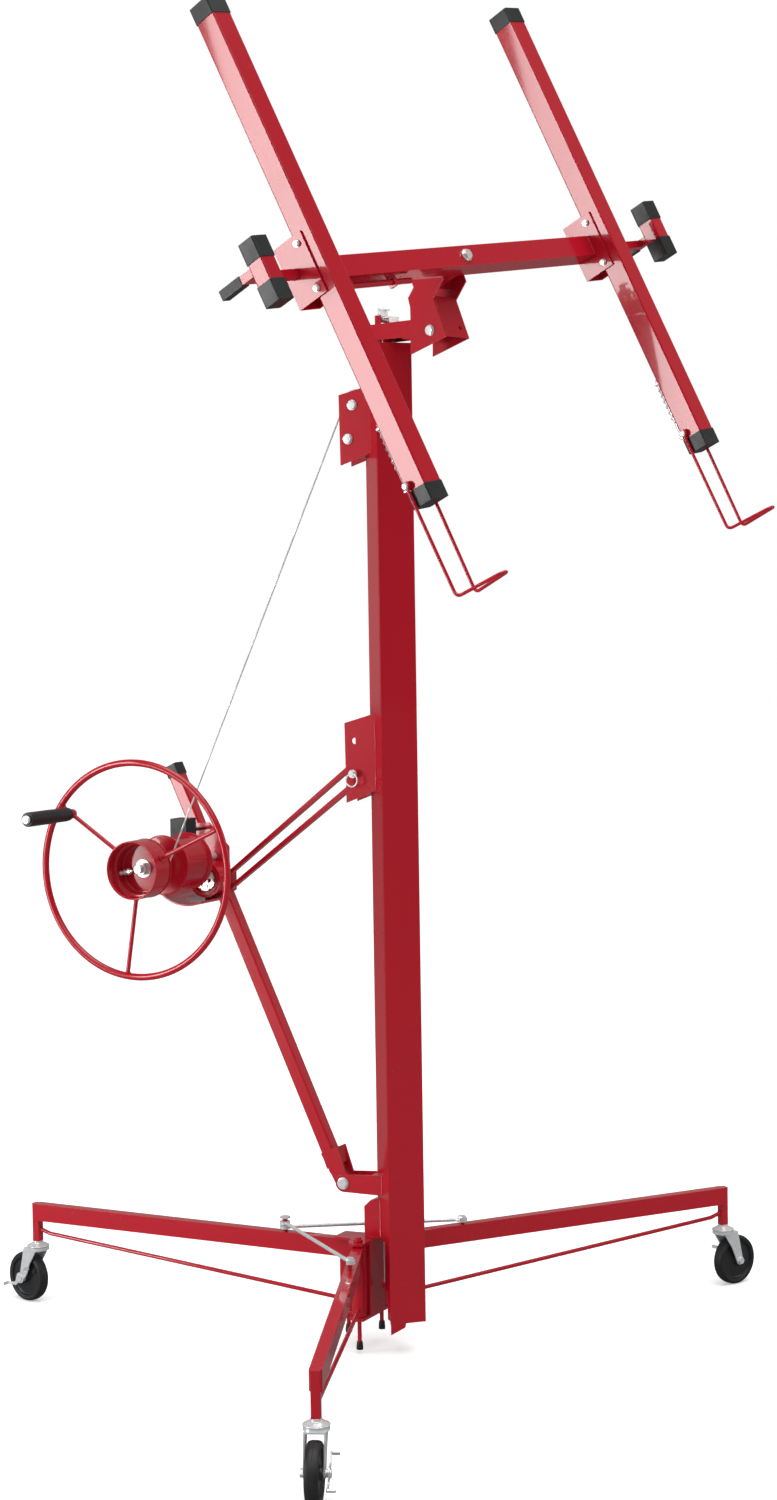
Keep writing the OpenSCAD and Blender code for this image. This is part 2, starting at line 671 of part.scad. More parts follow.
module yoke() color(red) tilted() difference() {
    union() {
        for (s = [-1, 1]) xplate(yoke_side, s * 30.2 - 1.5, s * 30.2 + 1.5);
        box([-30, -27, 28.6], [30, 54, 31.6]);
        box([-30, 72, 28.6], [30, 118.6, 31.6]);
        translate([0, cradle_up, 31]) cylinder(r = 20.8, h = 36.4);
    }
    xcyl(5 + fit, -50, 50);
    translate([0, cradle_up, 20]) cylinder(r = 6 + fit, h = 60);
    translate([14, -8, 20]) cylinder(r = 4, h = 20);
}
module spin_bolt() color(zinc) tilted() translate([0, cradle_up, 0]) {
    translate([0, 0, 25]) cylinder(r = 6, h = 89);
    translate([0, 0, 24.4]) cylinder(r = 10, h = 3.8, $fn = 6);
    translate([0, 0, 108.3]) cylinder(r = 12, h = 2);
    translate([0, 0, 110.3]) cylinder(r = 10, h = 6, $fn = 6);
}

// ---------------------------------------------------------------- cradle

module crossbar() color(red) cradle() {
    bar_tube();
    guide_rod();
}
module bar_tube() translate([0, 0, bar_z]) difference() {
    box([-440, -bar_side / 2, -bar_side / 2], [440, bar_side / 2, bar_side / 2]);
    box([-400, -17, -17], [400, 17, 17]);
    box([-450, -7.8, -7.8], [450, 7.8, 7.8]);
    translate([0, 0, -30]) cylinder(r = 6 + fit, h = 60);
}
module guide_rod() {
    for (x = [-330, -210]) box([x - 4, -39, bar_z - 8], [x + 4, -bar_side / 2 + 1, bar_z + 8]);
    translate([0, -30, bar_z]) xcyl(5.5, -352, -160);
}
module saddles() color(red) cradle() for (s = [-1, 1]) translate([s * arm_x, 0, 0]) difference() {
    union() {
        box([-26, -56, -67], [26, 58, -64]);
        for (t = [-1, 1]) box([t * 24.2 - 1.8, -56, -66], [t * 24.2 + 1.8, 58, 2]);
    }
    // the crossbar passes through
    box([s > 0 ? -30 : -16.1, -bar_side / 2 - 0.1, bar_z - bar_side / 2 - 0.1],
        [s > 0 ? 16.1 : 30, bar_side / 2 + 0.1, bar_z + bar_side / 2 + 0.1]);
    box([-40, -8.2, bar_z - 8.2], [40, 8.2, bar_z + 8.2]);
    for (u = [-42, 42]) translate([0, u, 8 - arm_side / 2]) xcyl(3 + fit, -30, 30);
}
module crossarms() color(red) cradle() for (s = [-1, 1]) translate([s * arm_x, 0, 0]) difference() {
    rotate([-90, 0, 0]) translate([0, 0, arm_low + 3]) linear_extrude(arm_high - arm_low - 6) difference() {
        round_square(arm_side, 3);
        round_square(arm_side - 5, 2);
    }
    for (u = [-42, 42]) translate([0, u, 8 - arm_side / 2]) xcyl(3 + fit, -30, 30);
    translate([0, hook_u, hook_z]) xcyl(4 + fit, -30, 30);
}
module arm_caps() color(black) cradle() for (s = [-1, 1], e = [-1, 1])
    translate([s * arm_x, e > 0 ? arm_high : arm_low, 0]) rotate([e * 90, 0, 0]) {
        translate([0, 0, -0.1]) linear_extrude(3) round_square(arm_side + 1, 3);
        translate([0, 0, 2.8]) linear_extrude(24) round_square(arm_side - 5.4, 2);
        difference() {
            linear_extrude(30) round_square(arm_side + 3, 4);
            translate([0, 0, 2.9]) linear_extrude(30) round_square(arm_side + 0.2, 3);
        }
    }
module arm_bolts() color(zinc) cradle() {
    bolt_rows();
    hook_keepers();
}
module bolt_rows() for (s = [-1, 1]) translate([s * arm_x, 0, 8 - arm_side / 2]) {
    for (u = [-42, 42]) translate([0, u, 0]) {
        xcyl(3, -30, 30);
        hex_x(10, -30.5, -26.2);
        hex_x(10, 26.2, 30.5);
    }
    // hook pivot and the keeper behind the arm
    translate([0, hook_u, hook_z + arm_side / 2 - 8]) {
        xcyl(4, -32, 32);
        xcyl(6.5, -34, -31.6);
        xcyl(6.5, 31.6, 34);
    }
}
module hook_keepers() for (s = [-1, 1]) translate([s * arm_x, 0, 0]) {
    translate([-6, 0, -30]) ycyl(3.5, -410, -290);
    box([-16, -420, -arm_side / 2 - 2.2], [12, -376, -arm_side / 2 - 0.1]);
    box([-12, -416, -36], [0, -413, -arm_side / 2 - 0.2]);
    box([-12, -300, -36], [0, -297, -arm_side / 2 - 0.2]);
}
// outrigger drawn for the +X side
module outrigger(out, up) color(red) {
    box([240, -7.5, bar_z - 7.5], [out + 7.5, 7.5, bar_z + 7.5]);
    box([out - 7.5, -7.5, bar_z - 7.5], [out + 7.5, 7.5, -16]);
    translate([out, up, 0]) rotate([-90, 0, 0]) linear_extrude(109, center = true) difference() {
        round_square(34, 3);
        round_square(29, 2);
    }
}
module outrigger_caps(out, up) color(black) {
    for (e = [-1, 1]) translate([out, up + e * 58, 0]) rotate([e * 90, 0, 0]) difference() {
        linear_extrude(38) round_square(37.5, 4);
        translate([0, 0, 3]) linear_extrude(40) round_square(34.2, 3);
    }
    box([out - 9, -9, bar_z - 60], [out + 9, 9, bar_z - 7.7]);
}
module outrigger_right() cradle() outrigger(592, 7);
module outrigger_left() cradle() mirror([1, 0, 0]) outrigger(573, -11);
module tbar_caps_right() cradle() outrigger_caps(592, 7);
module tbar_caps_left() cradle() mirror([1, 0, 0]) outrigger_caps(573, -11);

// wire hook: two side wires from the pivot, turned forward into a hairpin
module hook() color(red) translate([0, hook_u, hook_z]) {
    for (s = [-1, 1]) {
        difference() {
            translate([s * 28, 0, 0]) xcyl(8, -3, 3);
            xcyl(4 + fit, -40, 40);
        }
        bar([s * 28, -6.5, 0], [s * hook_gap, -hook_reach, 0], wire);
        translate([s * hook_gap, -hook_reach, 0]) sphere(r = wire * knuckle);
        bar([s * hook_gap, -hook_reach, 0], [s * 9, -hook_reach, 92], wire);
        translate([s * 9, -hook_reach, 92]) sphere(r = wire * knuckle);
    }
    bar([-9, -hook_reach, 92], [9, -hook_reach, 92], wire);
}
module hook_left() cradle() translate([-arm_x, 0, 0]) hook();
module hook_right() cradle() translate([arm_x, 0, 0]) hook();

hub();
leg_rear();
leg_left();
leg_right();
hinge_rods();
end_caps();
lock_rod_left();
lock_rod_right();
race_left();
race_right();
race_rear();
fork_left();
fork_right();
fork_rear();
wheel_left();
wheel_right();
wheel_rear();
brake_left();
brake_right();
brake_rear();
mast_fixed();
mast_middle();
mast_top();
mast_foot();
mast_brackets();
mast_bolts();
sheave();
hitch_pin();
winch_post();
brace();
winch_guard();
ratchet();
brake_cover();
spool();
brake_drum();
hub_cup();
shaft();
handwheel();
crank_spindle();
crank_grip();
cable();
cable_coil();
cable_inner();
head_box();
latch();
tilt_bolt();
yoke();
spin_bolt();
crossbar();
saddles();
crossarms();
arm_caps();
arm_bolts();
outrigger_left();
outrigger_right();
tbar_caps_left();
tbar_caps_right();
hook_left();
hook_right();
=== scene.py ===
# %% [markdown]
# # A rolling panel lift
# The lift is a folding tripod on casters, a telescoping mast, a winch with a
# hand wheel and a tilting cradle. The measured frame is loaded first. Every
# piece below is placed from it, so nothing has to be fitted by eye.

# %% Load the frame
import json
import math
import bmesh
import bpy
from mathutils import Matrix, Vector


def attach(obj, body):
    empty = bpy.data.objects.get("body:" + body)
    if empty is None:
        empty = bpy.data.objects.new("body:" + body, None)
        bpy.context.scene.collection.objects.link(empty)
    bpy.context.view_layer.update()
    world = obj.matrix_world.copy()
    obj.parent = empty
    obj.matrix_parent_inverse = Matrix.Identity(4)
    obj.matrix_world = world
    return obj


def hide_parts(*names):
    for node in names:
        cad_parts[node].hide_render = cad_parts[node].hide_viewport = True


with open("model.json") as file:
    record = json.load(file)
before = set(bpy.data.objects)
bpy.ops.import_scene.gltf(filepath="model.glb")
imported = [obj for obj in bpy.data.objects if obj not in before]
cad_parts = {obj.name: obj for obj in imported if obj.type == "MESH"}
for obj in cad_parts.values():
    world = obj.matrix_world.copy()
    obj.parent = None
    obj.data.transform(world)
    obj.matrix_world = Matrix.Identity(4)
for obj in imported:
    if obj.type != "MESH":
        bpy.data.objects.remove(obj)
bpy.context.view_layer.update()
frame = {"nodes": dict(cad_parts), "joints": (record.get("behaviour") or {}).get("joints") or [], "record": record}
joints = {j["name"]: j for j in frame["joints"]}
body_of = {n: b for b, ns in frame["record"]["behaviour"]["bodies"].items() for n in ns}

# %% [markdown]
# The camera stands low and far away, a little to the left of the hand wheel.
# A long lens keeps the mast straight. Three directions give its rotation: right,
# up, and the way it looks.

# %% Camera
CAMERA_AT = Vector((-4.18144, -2.31532, 1.4078))
LOOK = math.radians(27.34)
DIP = math.radians(-3.08)
ROLL = math.radians(-0.892)
LENS = 60.36

forward = Vector((math.cos(DIP) * math.cos(LOOK), math.cos(DIP) * math.sin(LOOK), math.sin(DIP)))
level = forward.cross(Vector((0, 0, 1))).normalized()
rise = level.cross(forward)
right = level * math.cos(ROLL) + rise * math.sin(ROLL)
above = rise * math.cos(ROLL) - level * math.sin(ROLL)
camera = bpy.data.objects.new("camera", bpy.data.cameras.new("camera"))
camera.matrix_world = Matrix.Translation(CAMERA_AT) @ Matrix((right, above, -forward)).transposed().to_4x4()
camera.data.lens = LENS
bpy.context.scene.collection.objects.link(camera)
bpy.context.scene.camera = camera
print("camera looks along", [round(c, 3) for c in forward])

# %% [markdown]
# Each assembly has its own local axes: the cradle is tilted, the casters point
# three ways. A matrix for each lets a piece be drawn in plain millimetres where
# it is simple, and then be carried to its place in metres. The joints of the
# frame give the pivots and directions.

# %% Local axes of the assemblies
MAST_BACK = 29.0
HOOK_U, HOOK_N = -412.0, -12.0
POST_Y, POST_Z = 84.0, 292.0
POST_LEAN = math.radians(24.6)


def pivot(name):
    return Vector(joints[name]["pos_m"])


def axis(name):
    return Vector(joints[name]["axis"])


def local_axes(origin, x_way, z_way):
    """Matrix from millimetres in these axes to metres in the frame."""
    x, z = x_way.normalized(), z_way.normalized()
    y = z.cross(x)
    turn = Matrix((x, y, z)).transposed().to_4x4()
    return Matrix.Translation(origin) @ turn @ Matrix.Scale(0.001, 4)


UP = Vector((0, 0, 1))
SIDE = Vector((1, 0, 0))
mast_axis = pivot("head_swivel")
mast_axis.z = 0
BASE = local_axes(mast_axis + Vector((0, MAST_BACK / 1000, 0)), SIDE, UP)
WINCH = local_axes(Vector((mast_axis.x, pivot("crank_turn").y, pivot("crank_turn").z)), SIDE, UP)
TILT = local_axes(pivot("cradle_tilt"), axis("cradle_tilt"), axis("cradle_spin"))
cradle_x, cradle_z = axis("right_outrigger_slide"), axis("cradle_spin")
cradle_y = cradle_z.cross(cradle_x)
hook_middle = (pivot("left_hook_fold") + pivot("right_hook_fold")) / 2
CRADLE = local_axes(hook_middle - (cradle_y * HOOK_U + cradle_z * HOOK_N) / 1000, cradle_x, cradle_z)
POST = local_axes(BASE @ Vector((0, POST_Y, POST_Z)), SIDE,
                  Vector((0, math.sin(POST_LEAN), math.cos(POST_LEAN))))
CASTER, LEG = {}, {}
for side in ("left", "right", "rear"):
    stem, axle = pivot(side + "_caster_swivel"), pivot(side + "_wheel_roll")
    stem.z = axle.z = 0
    CASTER[side] = local_axes(stem, axle - stem, UP)
    hinge = pivot(side + "_leg_fold") if side != "rear" else BASE @ Vector((0, 0, 0))
    hinge.z = 0
    LEG[side] = (local_axes(hinge, stem - hinge, UP), (stem - hinge).length * 1000)
print("leg lengths", {s: round(l) for s, (_, l) in LEG.items()})

# %% [markdown]
# The floor is one pale sheet and the light is soft, as in a studio. The sky is
# white to the camera but not to the gloss: there it is bright behind the lift
# and dark in front of it, like a studio with black screens beside the camera.
# So the faces turned to the camera stay deep red, and grazing faces shine.

# %% Floor and light
def area_light(name, at, towards, wide, high, power):
    lamp = bpy.data.lights.new(name, "AREA")
    lamp.shape, lamp.size, lamp.size_y, lamp.energy = "RECTANGLE", wide, high, power
    obj = bpy.data.objects.new(name, lamp)
    obj.location = at
    obj.rotation_euler = (Vector(towards) - Vector(at)).to_track_quat("-Z", "Y").to_euler()
    bpy.context.scene.collection.objects.link(obj)


area_light("top_box", (0.2, -0.6, 5.2), (0, 0, 0), 3.0, 3.0, 55)
area_light("left_box", (-3.4, 3.0, 1.3), (0, 0, 0.8), 1.2, 2.6, 115)
area_light("right_box", (1.8, -4.4, 2.0), (0, 0, 1.3), 0.8, 3.2, 34)

# one very wide sun lights the whole floor evenly, so that no horizon shows
sun = bpy.data.lights.new("sun", "SUN")
sun.energy, sun.angle = 1.7, math.radians(70)
sun_object = bpy.data.objects.new("sun", sun)
sun_object.rotation_euler = Vector((0.35, 0.25, -1)).to_track_quat("-Z", "Y").to_euler()
bpy.context.scene.collection.objects.link(sun_object)

world = bpy.data.worlds.new("studio")
bpy.context.scene.world = world
world.use_nodes = True
sky = world.node_tree
sky.nodes.clear()


def sky_light(colour, strength):
    light = sky.nodes.new("ShaderNodeBackground")
    light.inputs["Color"].default_value, light.inputs["Strength"].default_value = (*colour, 1), strength
    return light


def sky_mix(mask, low, high):
    mixed = sky.nodes.new("ShaderNodeMixShader")
    sky.links.new(mask, mixed.inputs["Fac"])
    sky.links.new(low.outputs[0], mixed.inputs[1])
    sky.links.new(high.outputs[0], mixed.inputs[2])
    return mixed


rays = sky.nodes.new("ShaderNodeLightPath")
where = sky.nodes.new("ShaderNodeTexCoord")
facing = sky.nodes.new("ShaderNodeVectorMath")
facing.operation = "DOT_PRODUCT"
facing.inputs[1].default_value = camera.matrix_world.to_3x3() @ Vector((0, 0, -1))
behind = sky.nodes.new("ShaderNodeMapRange")
behind.inputs[1].default_value, behind.inputs[2].default_value = 0.05, 0.45
sky.links.new(where.outputs["Generated"], facing.inputs[0])
sky.links.new(facing.outputs["Value"], behind.inputs[0])
screened = sky_mix(behind.outputs[0], sky_light((0.96, 0.98, 1), 0.06), sky_light((1, 1, 1), 0.30))
soft = sky_mix(rays.outputs["Is Glossy Ray"], sky_light((0.97, 0.98, 1), 0.34), screened)
shown = sky_mix(rays.outputs["Is Camera Ray"], soft, sky_light((1, 1, 1), 1.0))
out = sky.nodes.new("ShaderNodeOutputWorld")
sky.links.new(shown.outputs[0], out.inputs["Surface"])
bpy.context.scene.view_settings.view_transform = "Standard"

floor_mesh = bpy.data.meshes.new("floor")
reach = 30.0
floor_mesh.from_pydata([(-reach, -reach, 0), (reach, -reach, 0), (reach, reach, 0), (-reach, reach, 0)],
                       [], [(0, 1, 2, 3)])
floor = bpy.data.objects.new("floor", floor_mesh)
bpy.context.scene.collection.objects.link(floor)

# %% [markdown]
# A shader node group is a small tool that several finishes share. The first
# finds edges: the Bevel node rounds the surface normal, and where that differs
# from the true normal there is an edge. Noise breaks the line up, because real
# wear is never even.

# %% Helpers for shader groups
def new_group(name, inputs, outputs):
    group = bpy.data.node_groups.new(name, "ShaderNodeTree")
    for label, value in inputs.items():
        socket = group.interface.new_socket(label, in_out="INPUT", socket_type="NodeSocketFloat")
        socket.default_value = value
    for label in outputs:
        group.interface.new_socket(label, in_out="OUTPUT", socket_type="NodeSocketFloat")
    return group, group.nodes.new("NodeGroupInput"), group.nodes.new("NodeGroupOutput")


def node(tree, kind, **values):
    """Adds a node, sets its properties and its sockets, and links sockets that are given."""
    made = tree.nodes.new("ShaderNode" + kind)
    for key, value in values.items():
        if hasattr(made, key):
            setattr(made, key, value)
            continue
        spot = made.inputs[int(key[1:]) if key[0] == "i" and key[1:].isdigit() else key.replace("_", " ")]
        if isinstance(value, bpy.types.NodeSocket):
            tree.links.new(value, spot)
        else:
            spot.default_value = value
    return made


def maths(tree, operation, a, b=0.0):
    return node(tree, "Math", operation=operation, i0=a, i1=b).outputs[0]


def spread(tree, value, low, high):
    """Stretches low..high to 0..1 and clips it."""
    return node(tree, "MapRange", i0=value, i1=low, i2=high).outputs[0]


def own_place(tree):
    return tree.nodes.new("ShaderNodeTexCoord").outputs["Object"]


# %% Edge group
edge_group, given, result = new_group("worn_edge", {"Radius": 0.0015, "Grain": 300.0}, ["Edge"])
rounded_normal = node(edge_group, "Bevel", samples=4, Radius=given.outputs["Radius"]).outputs[0]
true_normal = edge_group.nodes.new("ShaderNodeNewGeometry").outputs["Normal"]
agree = node(edge_group, "VectorMath", operation="DOT_PRODUCT", i0=rounded_normal, i1=true_normal)
turned = spread(edge_group, maths(edge_group, "SUBTRACT", 1.0, agree.outputs["Value"]), 0.02, 0.16)
patches = node(edge_group, "TexNoise", Vector=own_place(edge_group), Scale=given.outputs["Grain"],
               Detail=4.0)
broken = spread(edge_group, patches.outputs[0], 0.38, 0.62)
edge_group.links.new(maths(edge_group, "MULTIPLY", turned, broken), result.inputs["Edge"])
print("edge group ready")

# %% [markdown]
# Powder coat melts into a skin with slow, shallow waves, the orange peel. Two
# noises of different sizes give its height. A third group gives the broad
# marks of handling, and a fourth the fine specks that settle in any finish.

# %% Skin, handling and speck groups
skin_group, given, result = new_group("powder_skin", {"Size": 260.0}, ["Height"])
waves = node(skin_group, "TexNoise", Vector=own_place(skin_group), Scale=given.outputs["Size"], Detail=1.0)
finer = maths(skin_group, "MULTIPLY", given.outputs["Size"], 4.2)
ripples = node(skin_group, "TexNoise", Vector=own_place(skin_group), Scale=finer, Detail=2.0)
small = maths(skin_group, "MULTIPLY", ripples.outputs[0], 0.3)
skin_group.links.new(maths(skin_group, "ADD", waves.outputs[0], small), result.inputs["Height"])

hand_group, given, result = new_group("handling_marks", {"Size": 7.0, "Cover": 0.5}, ["Mark"])
clouds = node(hand_group, "TexNoise", Vector=own_place(hand_group), Scale=given.outputs["Size"],
              Detail=6.0, Roughness=0.62)
start = maths(hand_group, "SUBTRACT", 0.75, maths(hand_group, "MULTIPLY", given.outputs["Cover"], 0.5))
marked = node(hand_group, "MapRange", i0=clouds.outputs[0], i1=start, i2=0.85)
hand_group.links.new(marked.outputs[0], result.inputs["Mark"])

speck_group, given, result = new_group("fine_specks", {"Size": 900.0, "Share": 0.08}, ["Speck"])
cells = node(speck_group, "TexVoronoi", Vector=own_place(speck_group), Scale=given.outputs["Size"])
near = maths(speck_group, "LESS_THAN", cells.outputs["Distance"], given.outputs["Share"])
speck_group.links.new(near, result.inputs["Speck"])
print("groups:", [g.name for g in bpy.data.node_groups])

# %% [markdown]
# Every finish starts from the Principled shader. A helper places a group with
# its own values, and another mixes two colours by a mask.

# %% Material helpers
def new_finish(name, **plain):
    material = bpy.data.materials.new(name)
    material.use_nodes = True
    tree = material.node_tree
    shader = tree.nodes["Principled BSDF"]
    for label, value in plain.items():
        shader.inputs[label.replace("_", " ")].default_value = value
    return material, tree, shader


def use(tree, group, output, **values):
    placed = tree.nodes.new("ShaderNodeGroup")
    placed.node_tree = group
    for label, value in values.items():
        placed.inputs[label].default_value = value
    return placed.outputs[output]


def blend_colours(tree, mask, low, high):
    mixed = tree.nodes.new("ShaderNodeMix")
    mixed.data_type = "RGBA"
    tree.links.new(mask, mixed.inputs[0])
    for spot, colour in ((6, low), (7, high)):
        if isinstance(colour, bpy.types.NodeSocket):
            tree.links.new(colour, mixed.inputs[spot])
        else:
            mixed.inputs[spot].default_value = (*colour, 1)
    return mixed.outputs[2]


def between(tree, mask, low, high):
    return node(tree, "MapRange", i0=mask, i3=low, i4=high).outputs[0]


def raise_surface(tree, shader, height, strength, distance):
    bump = node(tree, "Bump", Height=height, Strength=strength, Distance=distance)
    tree.links.new(bump.outputs[0], shader.inputs["Normal"])


# %% [markdown]
# The red is a gloss powder coat: a deep crimson with a clear, slightly wavy
# surface. It thins on sharp edges, where a brighter line shows, and handling
# dulls it in broad patches.

# %% Red powder coat
red_paint, tree, shader = new_finish("red_paint", Metallic=0.0, Specular_IOR_Level=0.22,
                                     Coat_Roughness=0.04, Coat_IOR=1.5)
marks = use(tree, hand_group, "Mark", Size=6.0, Cover=0.45)
edges = use(tree, edge_group, "Edge", Radius=0.0016, Grain=260.0)
specks = use(tree, speck_group, "Speck", Size=420.0, Share=0.07)
body_red = blend_colours(tree, marks, (0.440, 0.0060, 0.0170), (0.390, 0.0056, 0.0150))
specked = blend_colours(tree, maths(tree, "MULTIPLY", specks, 0.35), body_red, (0.24, 0.004, 0.010))
painted = blend_colours(tree, maths(tree, "MULTIPLY", edges, 0.55), specked, (0.66, 0.060, 0.060))
tree.links.new(painted, shader.inputs["Base Color"])
tree.links.new(between(tree, marks, 0.24, 0.36), shader.inputs["Roughness"])
tree.links.new(between(tree, edges, 0.65, 0.25), shader.inputs["Coat Weight"])
raise_surface(tree, shader, use(tree, skin_group, "Height", Size=240.0), 0.16, 0.0004)
print("red paint ready")

# %% [markdown]
# Zinc plate is bright and slightly blue, with a fine crystal pattern and faint
# yellow passivation. The cable is plain drawn steel, greyer and rougher.

# %% Zinc plate and drawn steel
def plated(name, low, high, rough_low, rough_high, crystal, metallic=0.5):
    material, tree, shader = new_finish(name, Metallic=metallic)
    cells = node(tree, "TexVoronoi", Vector=own_place(tree), Scale=crystal)
    shade = spread(tree, cells.outputs["Color"], 0.0, 1.0)
    marks = use(tree, hand_group, "Mark", Size=24.0, Cover=0.6)
    edges = use(tree, edge_group, "Edge", Radius=0.0010, Grain=500.0)
    metal = blend_colours(tree, shade, low, high)
    tinted = blend_colours(tree, maths(tree, "MULTIPLY", marks, 0.35), metal, (0.62, 0.58, 0.46))
    bright = blend_colours(tree, maths(tree, "MULTIPLY", edges, 0.6), tinted, (0.90, 0.90, 0.89))
    tree.links.new(bright, shader.inputs["Base Color"])
    tree.links.new(between(tree, marks, rough_low, rough_high), shader.inputs["Roughness"])
    raise_surface(tree, shader, use(tree, skin_group, "Height", Size=crystal * 2), 0.10, 0.0002)
    return material


zinc = plated("zinc", (0.74, 0.76, 0.78), (0.88, 0.89, 0.90), 0.20, 0.36, 260.0)
rod_zinc = plated("rod_zinc", (0.62, 0.67, 0.70), (0.80, 0.84, 0.86), 0.28, 0.46, 180.0)
drawn_steel = plated("drawn_steel", (0.74, 0.75, 0.76), (0.88, 0.89, 0.90), 0.34, 0.50, 900.0)
spring_steel = plated("spring_steel", (0.06, 0.06, 0.065), (0.12, 0.12, 0.125), 0.36, 0.5, 700.0, 1.0)

# %% [markdown]
# The caps and the crank grip are moulded in soft black vinyl. It has a fine
# leather grain and pale rubbed edges. The tyres are harder, almost smooth
# rubber with a little dust on the tread.

# %% Black vinyl and tyre rubber
def moulded(name, colour, rubbed, rough_low, rough_high, grain, strength):
    material, tree, shader = new_finish(name, Metallic=0.0, Specular_IOR_Level=0.45)
    marks = use(tree, hand_group, "Mark", Size=18.0, Cover=0.65)
    edges = use(tree, edge_group, "Edge", Radius=0.0020, Grain=350.0)
    dusty = blend_colours(tree, maths(tree, "MULTIPLY", marks, 0.55), colour, rubbed)
    worn = blend_colours(tree, maths(tree, "MULTIPLY", edges, 0.5), dusty, [c * 2.2 for c in rubbed])
    tree.links.new(worn, shader.inputs["Base Color"])
    tree.links.new(between(tree, marks, rough_low, rough_high), shader.inputs["Roughness"])
    cells = node(tree, "TexVoronoi", Vector=own_place(tree), Scale=grain, feature="SMOOTH_F1")
    raise_surface(tree, shader, cells.outputs["Distance"], strength, 0.0003)
    return material


vinyl = moulded("vinyl", (0.014, 0.015, 0.015), (0.030, 0.032, 0.032), 0.38, 0.56, 900.0, 0.25)
tyre_rubber = moulded("tyre_rubber", (0.010, 0.010, 0.011), (0.032, 0.031, 0.029), 0.44, 0.66,
                      1400.0, 0.12)
disc_plastic = moulded("disc_plastic", (0.016, 0.017, 0.018), (0.028, 0.029, 0.030), 0.30, 0.42,
                       1200.0, 0.10)

# %% [markdown]
# The floor is pale to the camera and a little self-lit, so its far edge melts
# into the white. To the gloss it is dark, so that it doesn't wash out the red.

# %% Floor finish
floor_paint, tree, shader = new_finish("floor_paint", Roughness=0.9, Specular_IOR_Level=0.2)
cloudy = use(tree, hand_group, "Mark", Size=1.5, Cover=0.5)
pale = blend_colours(tree, cloudy, (0.93, 0.93, 0.93), (0.91, 0.91, 0.91))
paths = tree.nodes.new("ShaderNodeLightPath")
dimmed = blend_colours(tree, paths.outputs["Is Glossy Ray"], (0.62, 0.62, 0.62), (0.16, 0.16, 0.16))
to_camera = paths.outputs["Is Camera Ray"]
tree.links.new(blend_colours(tree, to_camera, dimmed, pale), shader.inputs["Base Color"])
shader.inputs["Emission Color"].default_value = (1, 1, 1, 1)
tree.links.new(maths(tree, "MULTIPLY", to_camera, 0.36), shader.inputs["Emission Strength"])
floor.data.materials.append(floor_paint)

# %% [markdown]
# The tubes, plates and brackets of the frame already have the right shape. A
# real one has no knife edges, though, so each is copied, its flat faces are
# joined up, and a small bevel is put on the corners, where the light will
# catch it. The piece then stands for the plain node.

# %% Put a shape in the scene
ROUND_BELOW = math.radians(33)


def show(name, verts, faces, finish, body, stands_for=(), smooth_below=ROUND_BELOW):
    mesh = bpy.data.meshes.new(name)
    mesh.from_pydata(verts, [], faces)
    work = bmesh.new()
    work.from_mesh(mesh)
    bmesh.ops.recalc_face_normals(work, faces=work.faces)
    work.to_mesh(mesh)
    work.free()
    mesh.shade_smooth()
    mesh.set_sharp_from_angle(angle=smooth_below)
    mesh.materials.append(finish)
    piece = bpy.data.objects.new(name, mesh)
    bpy.context.scene.collection.objects.link(piece)
    evened = piece.modifiers.new("evened", "WEIGHTED_NORMAL")
    evened.keep_sharp = True
    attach(piece, body)
    if stands_for:
        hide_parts(*stands_for)
    return piece


def dress(node_name, finish, bevel_mm=0.6):
    """A copy of a node's shape with its corners rounded."""
    work = bmesh.new()
    work.from_mesh(frame["nodes"][node_name].data)
    bmesh.ops.remove_doubles(work, verts=work.verts, dist=2e-6)
    bmesh.ops.dissolve_limit(work, angle_limit=math.radians(0.4), verts=work.verts, edges=work.edges,
                             delimit={"NORMAL"})
    corners = [e for e in work.edges if len(e.link_faces) == 2 and e.calc_face_angle(0) > math.radians(34)]
    bmesh.ops.bevel(work, geom=corners, offset=bevel_mm / 1000, segments=2, profile=0.6,
                    affect="EDGES", clamp_overlap=True)
    work.verts.index_update()
    verts = [v.co.copy() for v in work.verts]
    faces = [[v.index for v in f.verts] for f in work.faces]
    work.free()
    return show(node_name + "_dressed", verts, faces, finish, body_of[node_name], (node_name,))


# %% Painted tubes and plates
PAINTED = {"hub": 0.8, "leg_rear": 1.2, "leg_left": 1.2, "leg_right": 1.2, "hinge_rods": 0.6,
           "mast_fixed": 0.6, "mast_middle": 0.6, "mast_top": 1.0, "mast_foot": 0.8, "mast_brackets": 0.8,
           "winch_post": 0.7, "brace": 0.7, "winch_guard": 0.7, "head_box": 0.8, "yoke": 0.8,
           "crossbar": 1.6, "saddles": 0.8, "crossarms": 0.7, "outrigger_left": 0.9, "outrigger_right": 0.9}
for node_name, bevel_mm in PAINTED.items():
    dress(node_name, red_paint, bevel_mm)
print("painted:", len(PAINTED))

# %% Plated and moulded parts that keep their shape
PLATED = {"lock_rod_left": rod_zinc, "lock_rod_right": rod_zinc, "fork_left": zinc, "fork_right": zinc,
          "fork_rear": zinc, "latch": zinc, "hitch_pin": zinc}
MOULDED = {"end_caps": 0.8, "brake_cover": 0.6, "arm_caps": 1.8, "tbar_caps_left": 1.6,
           "tbar_caps_right": 1.6}
for node_name, finish in PLATED.items():
    dress(node_name, finish, 0.4)
for node_name, bevel_mm in MOULDED.items():
    dress(node_name, vinyl, bevel_mm)
frame["nodes"]["cable_inner"].data.materials.clear()
frame["nodes"]["cable_inner"].data.materials.append(drawn_steel)
print("plated:", len(PLATED), "moulded:", len(MOULDED))

# %% [markdown]
# New shapes are lists of points and faces in millimetres. Three makers cover
# most of a machine: a lathe for what is turned, a bent tube for wire and rod,
# and a punched plate for sheet parts.

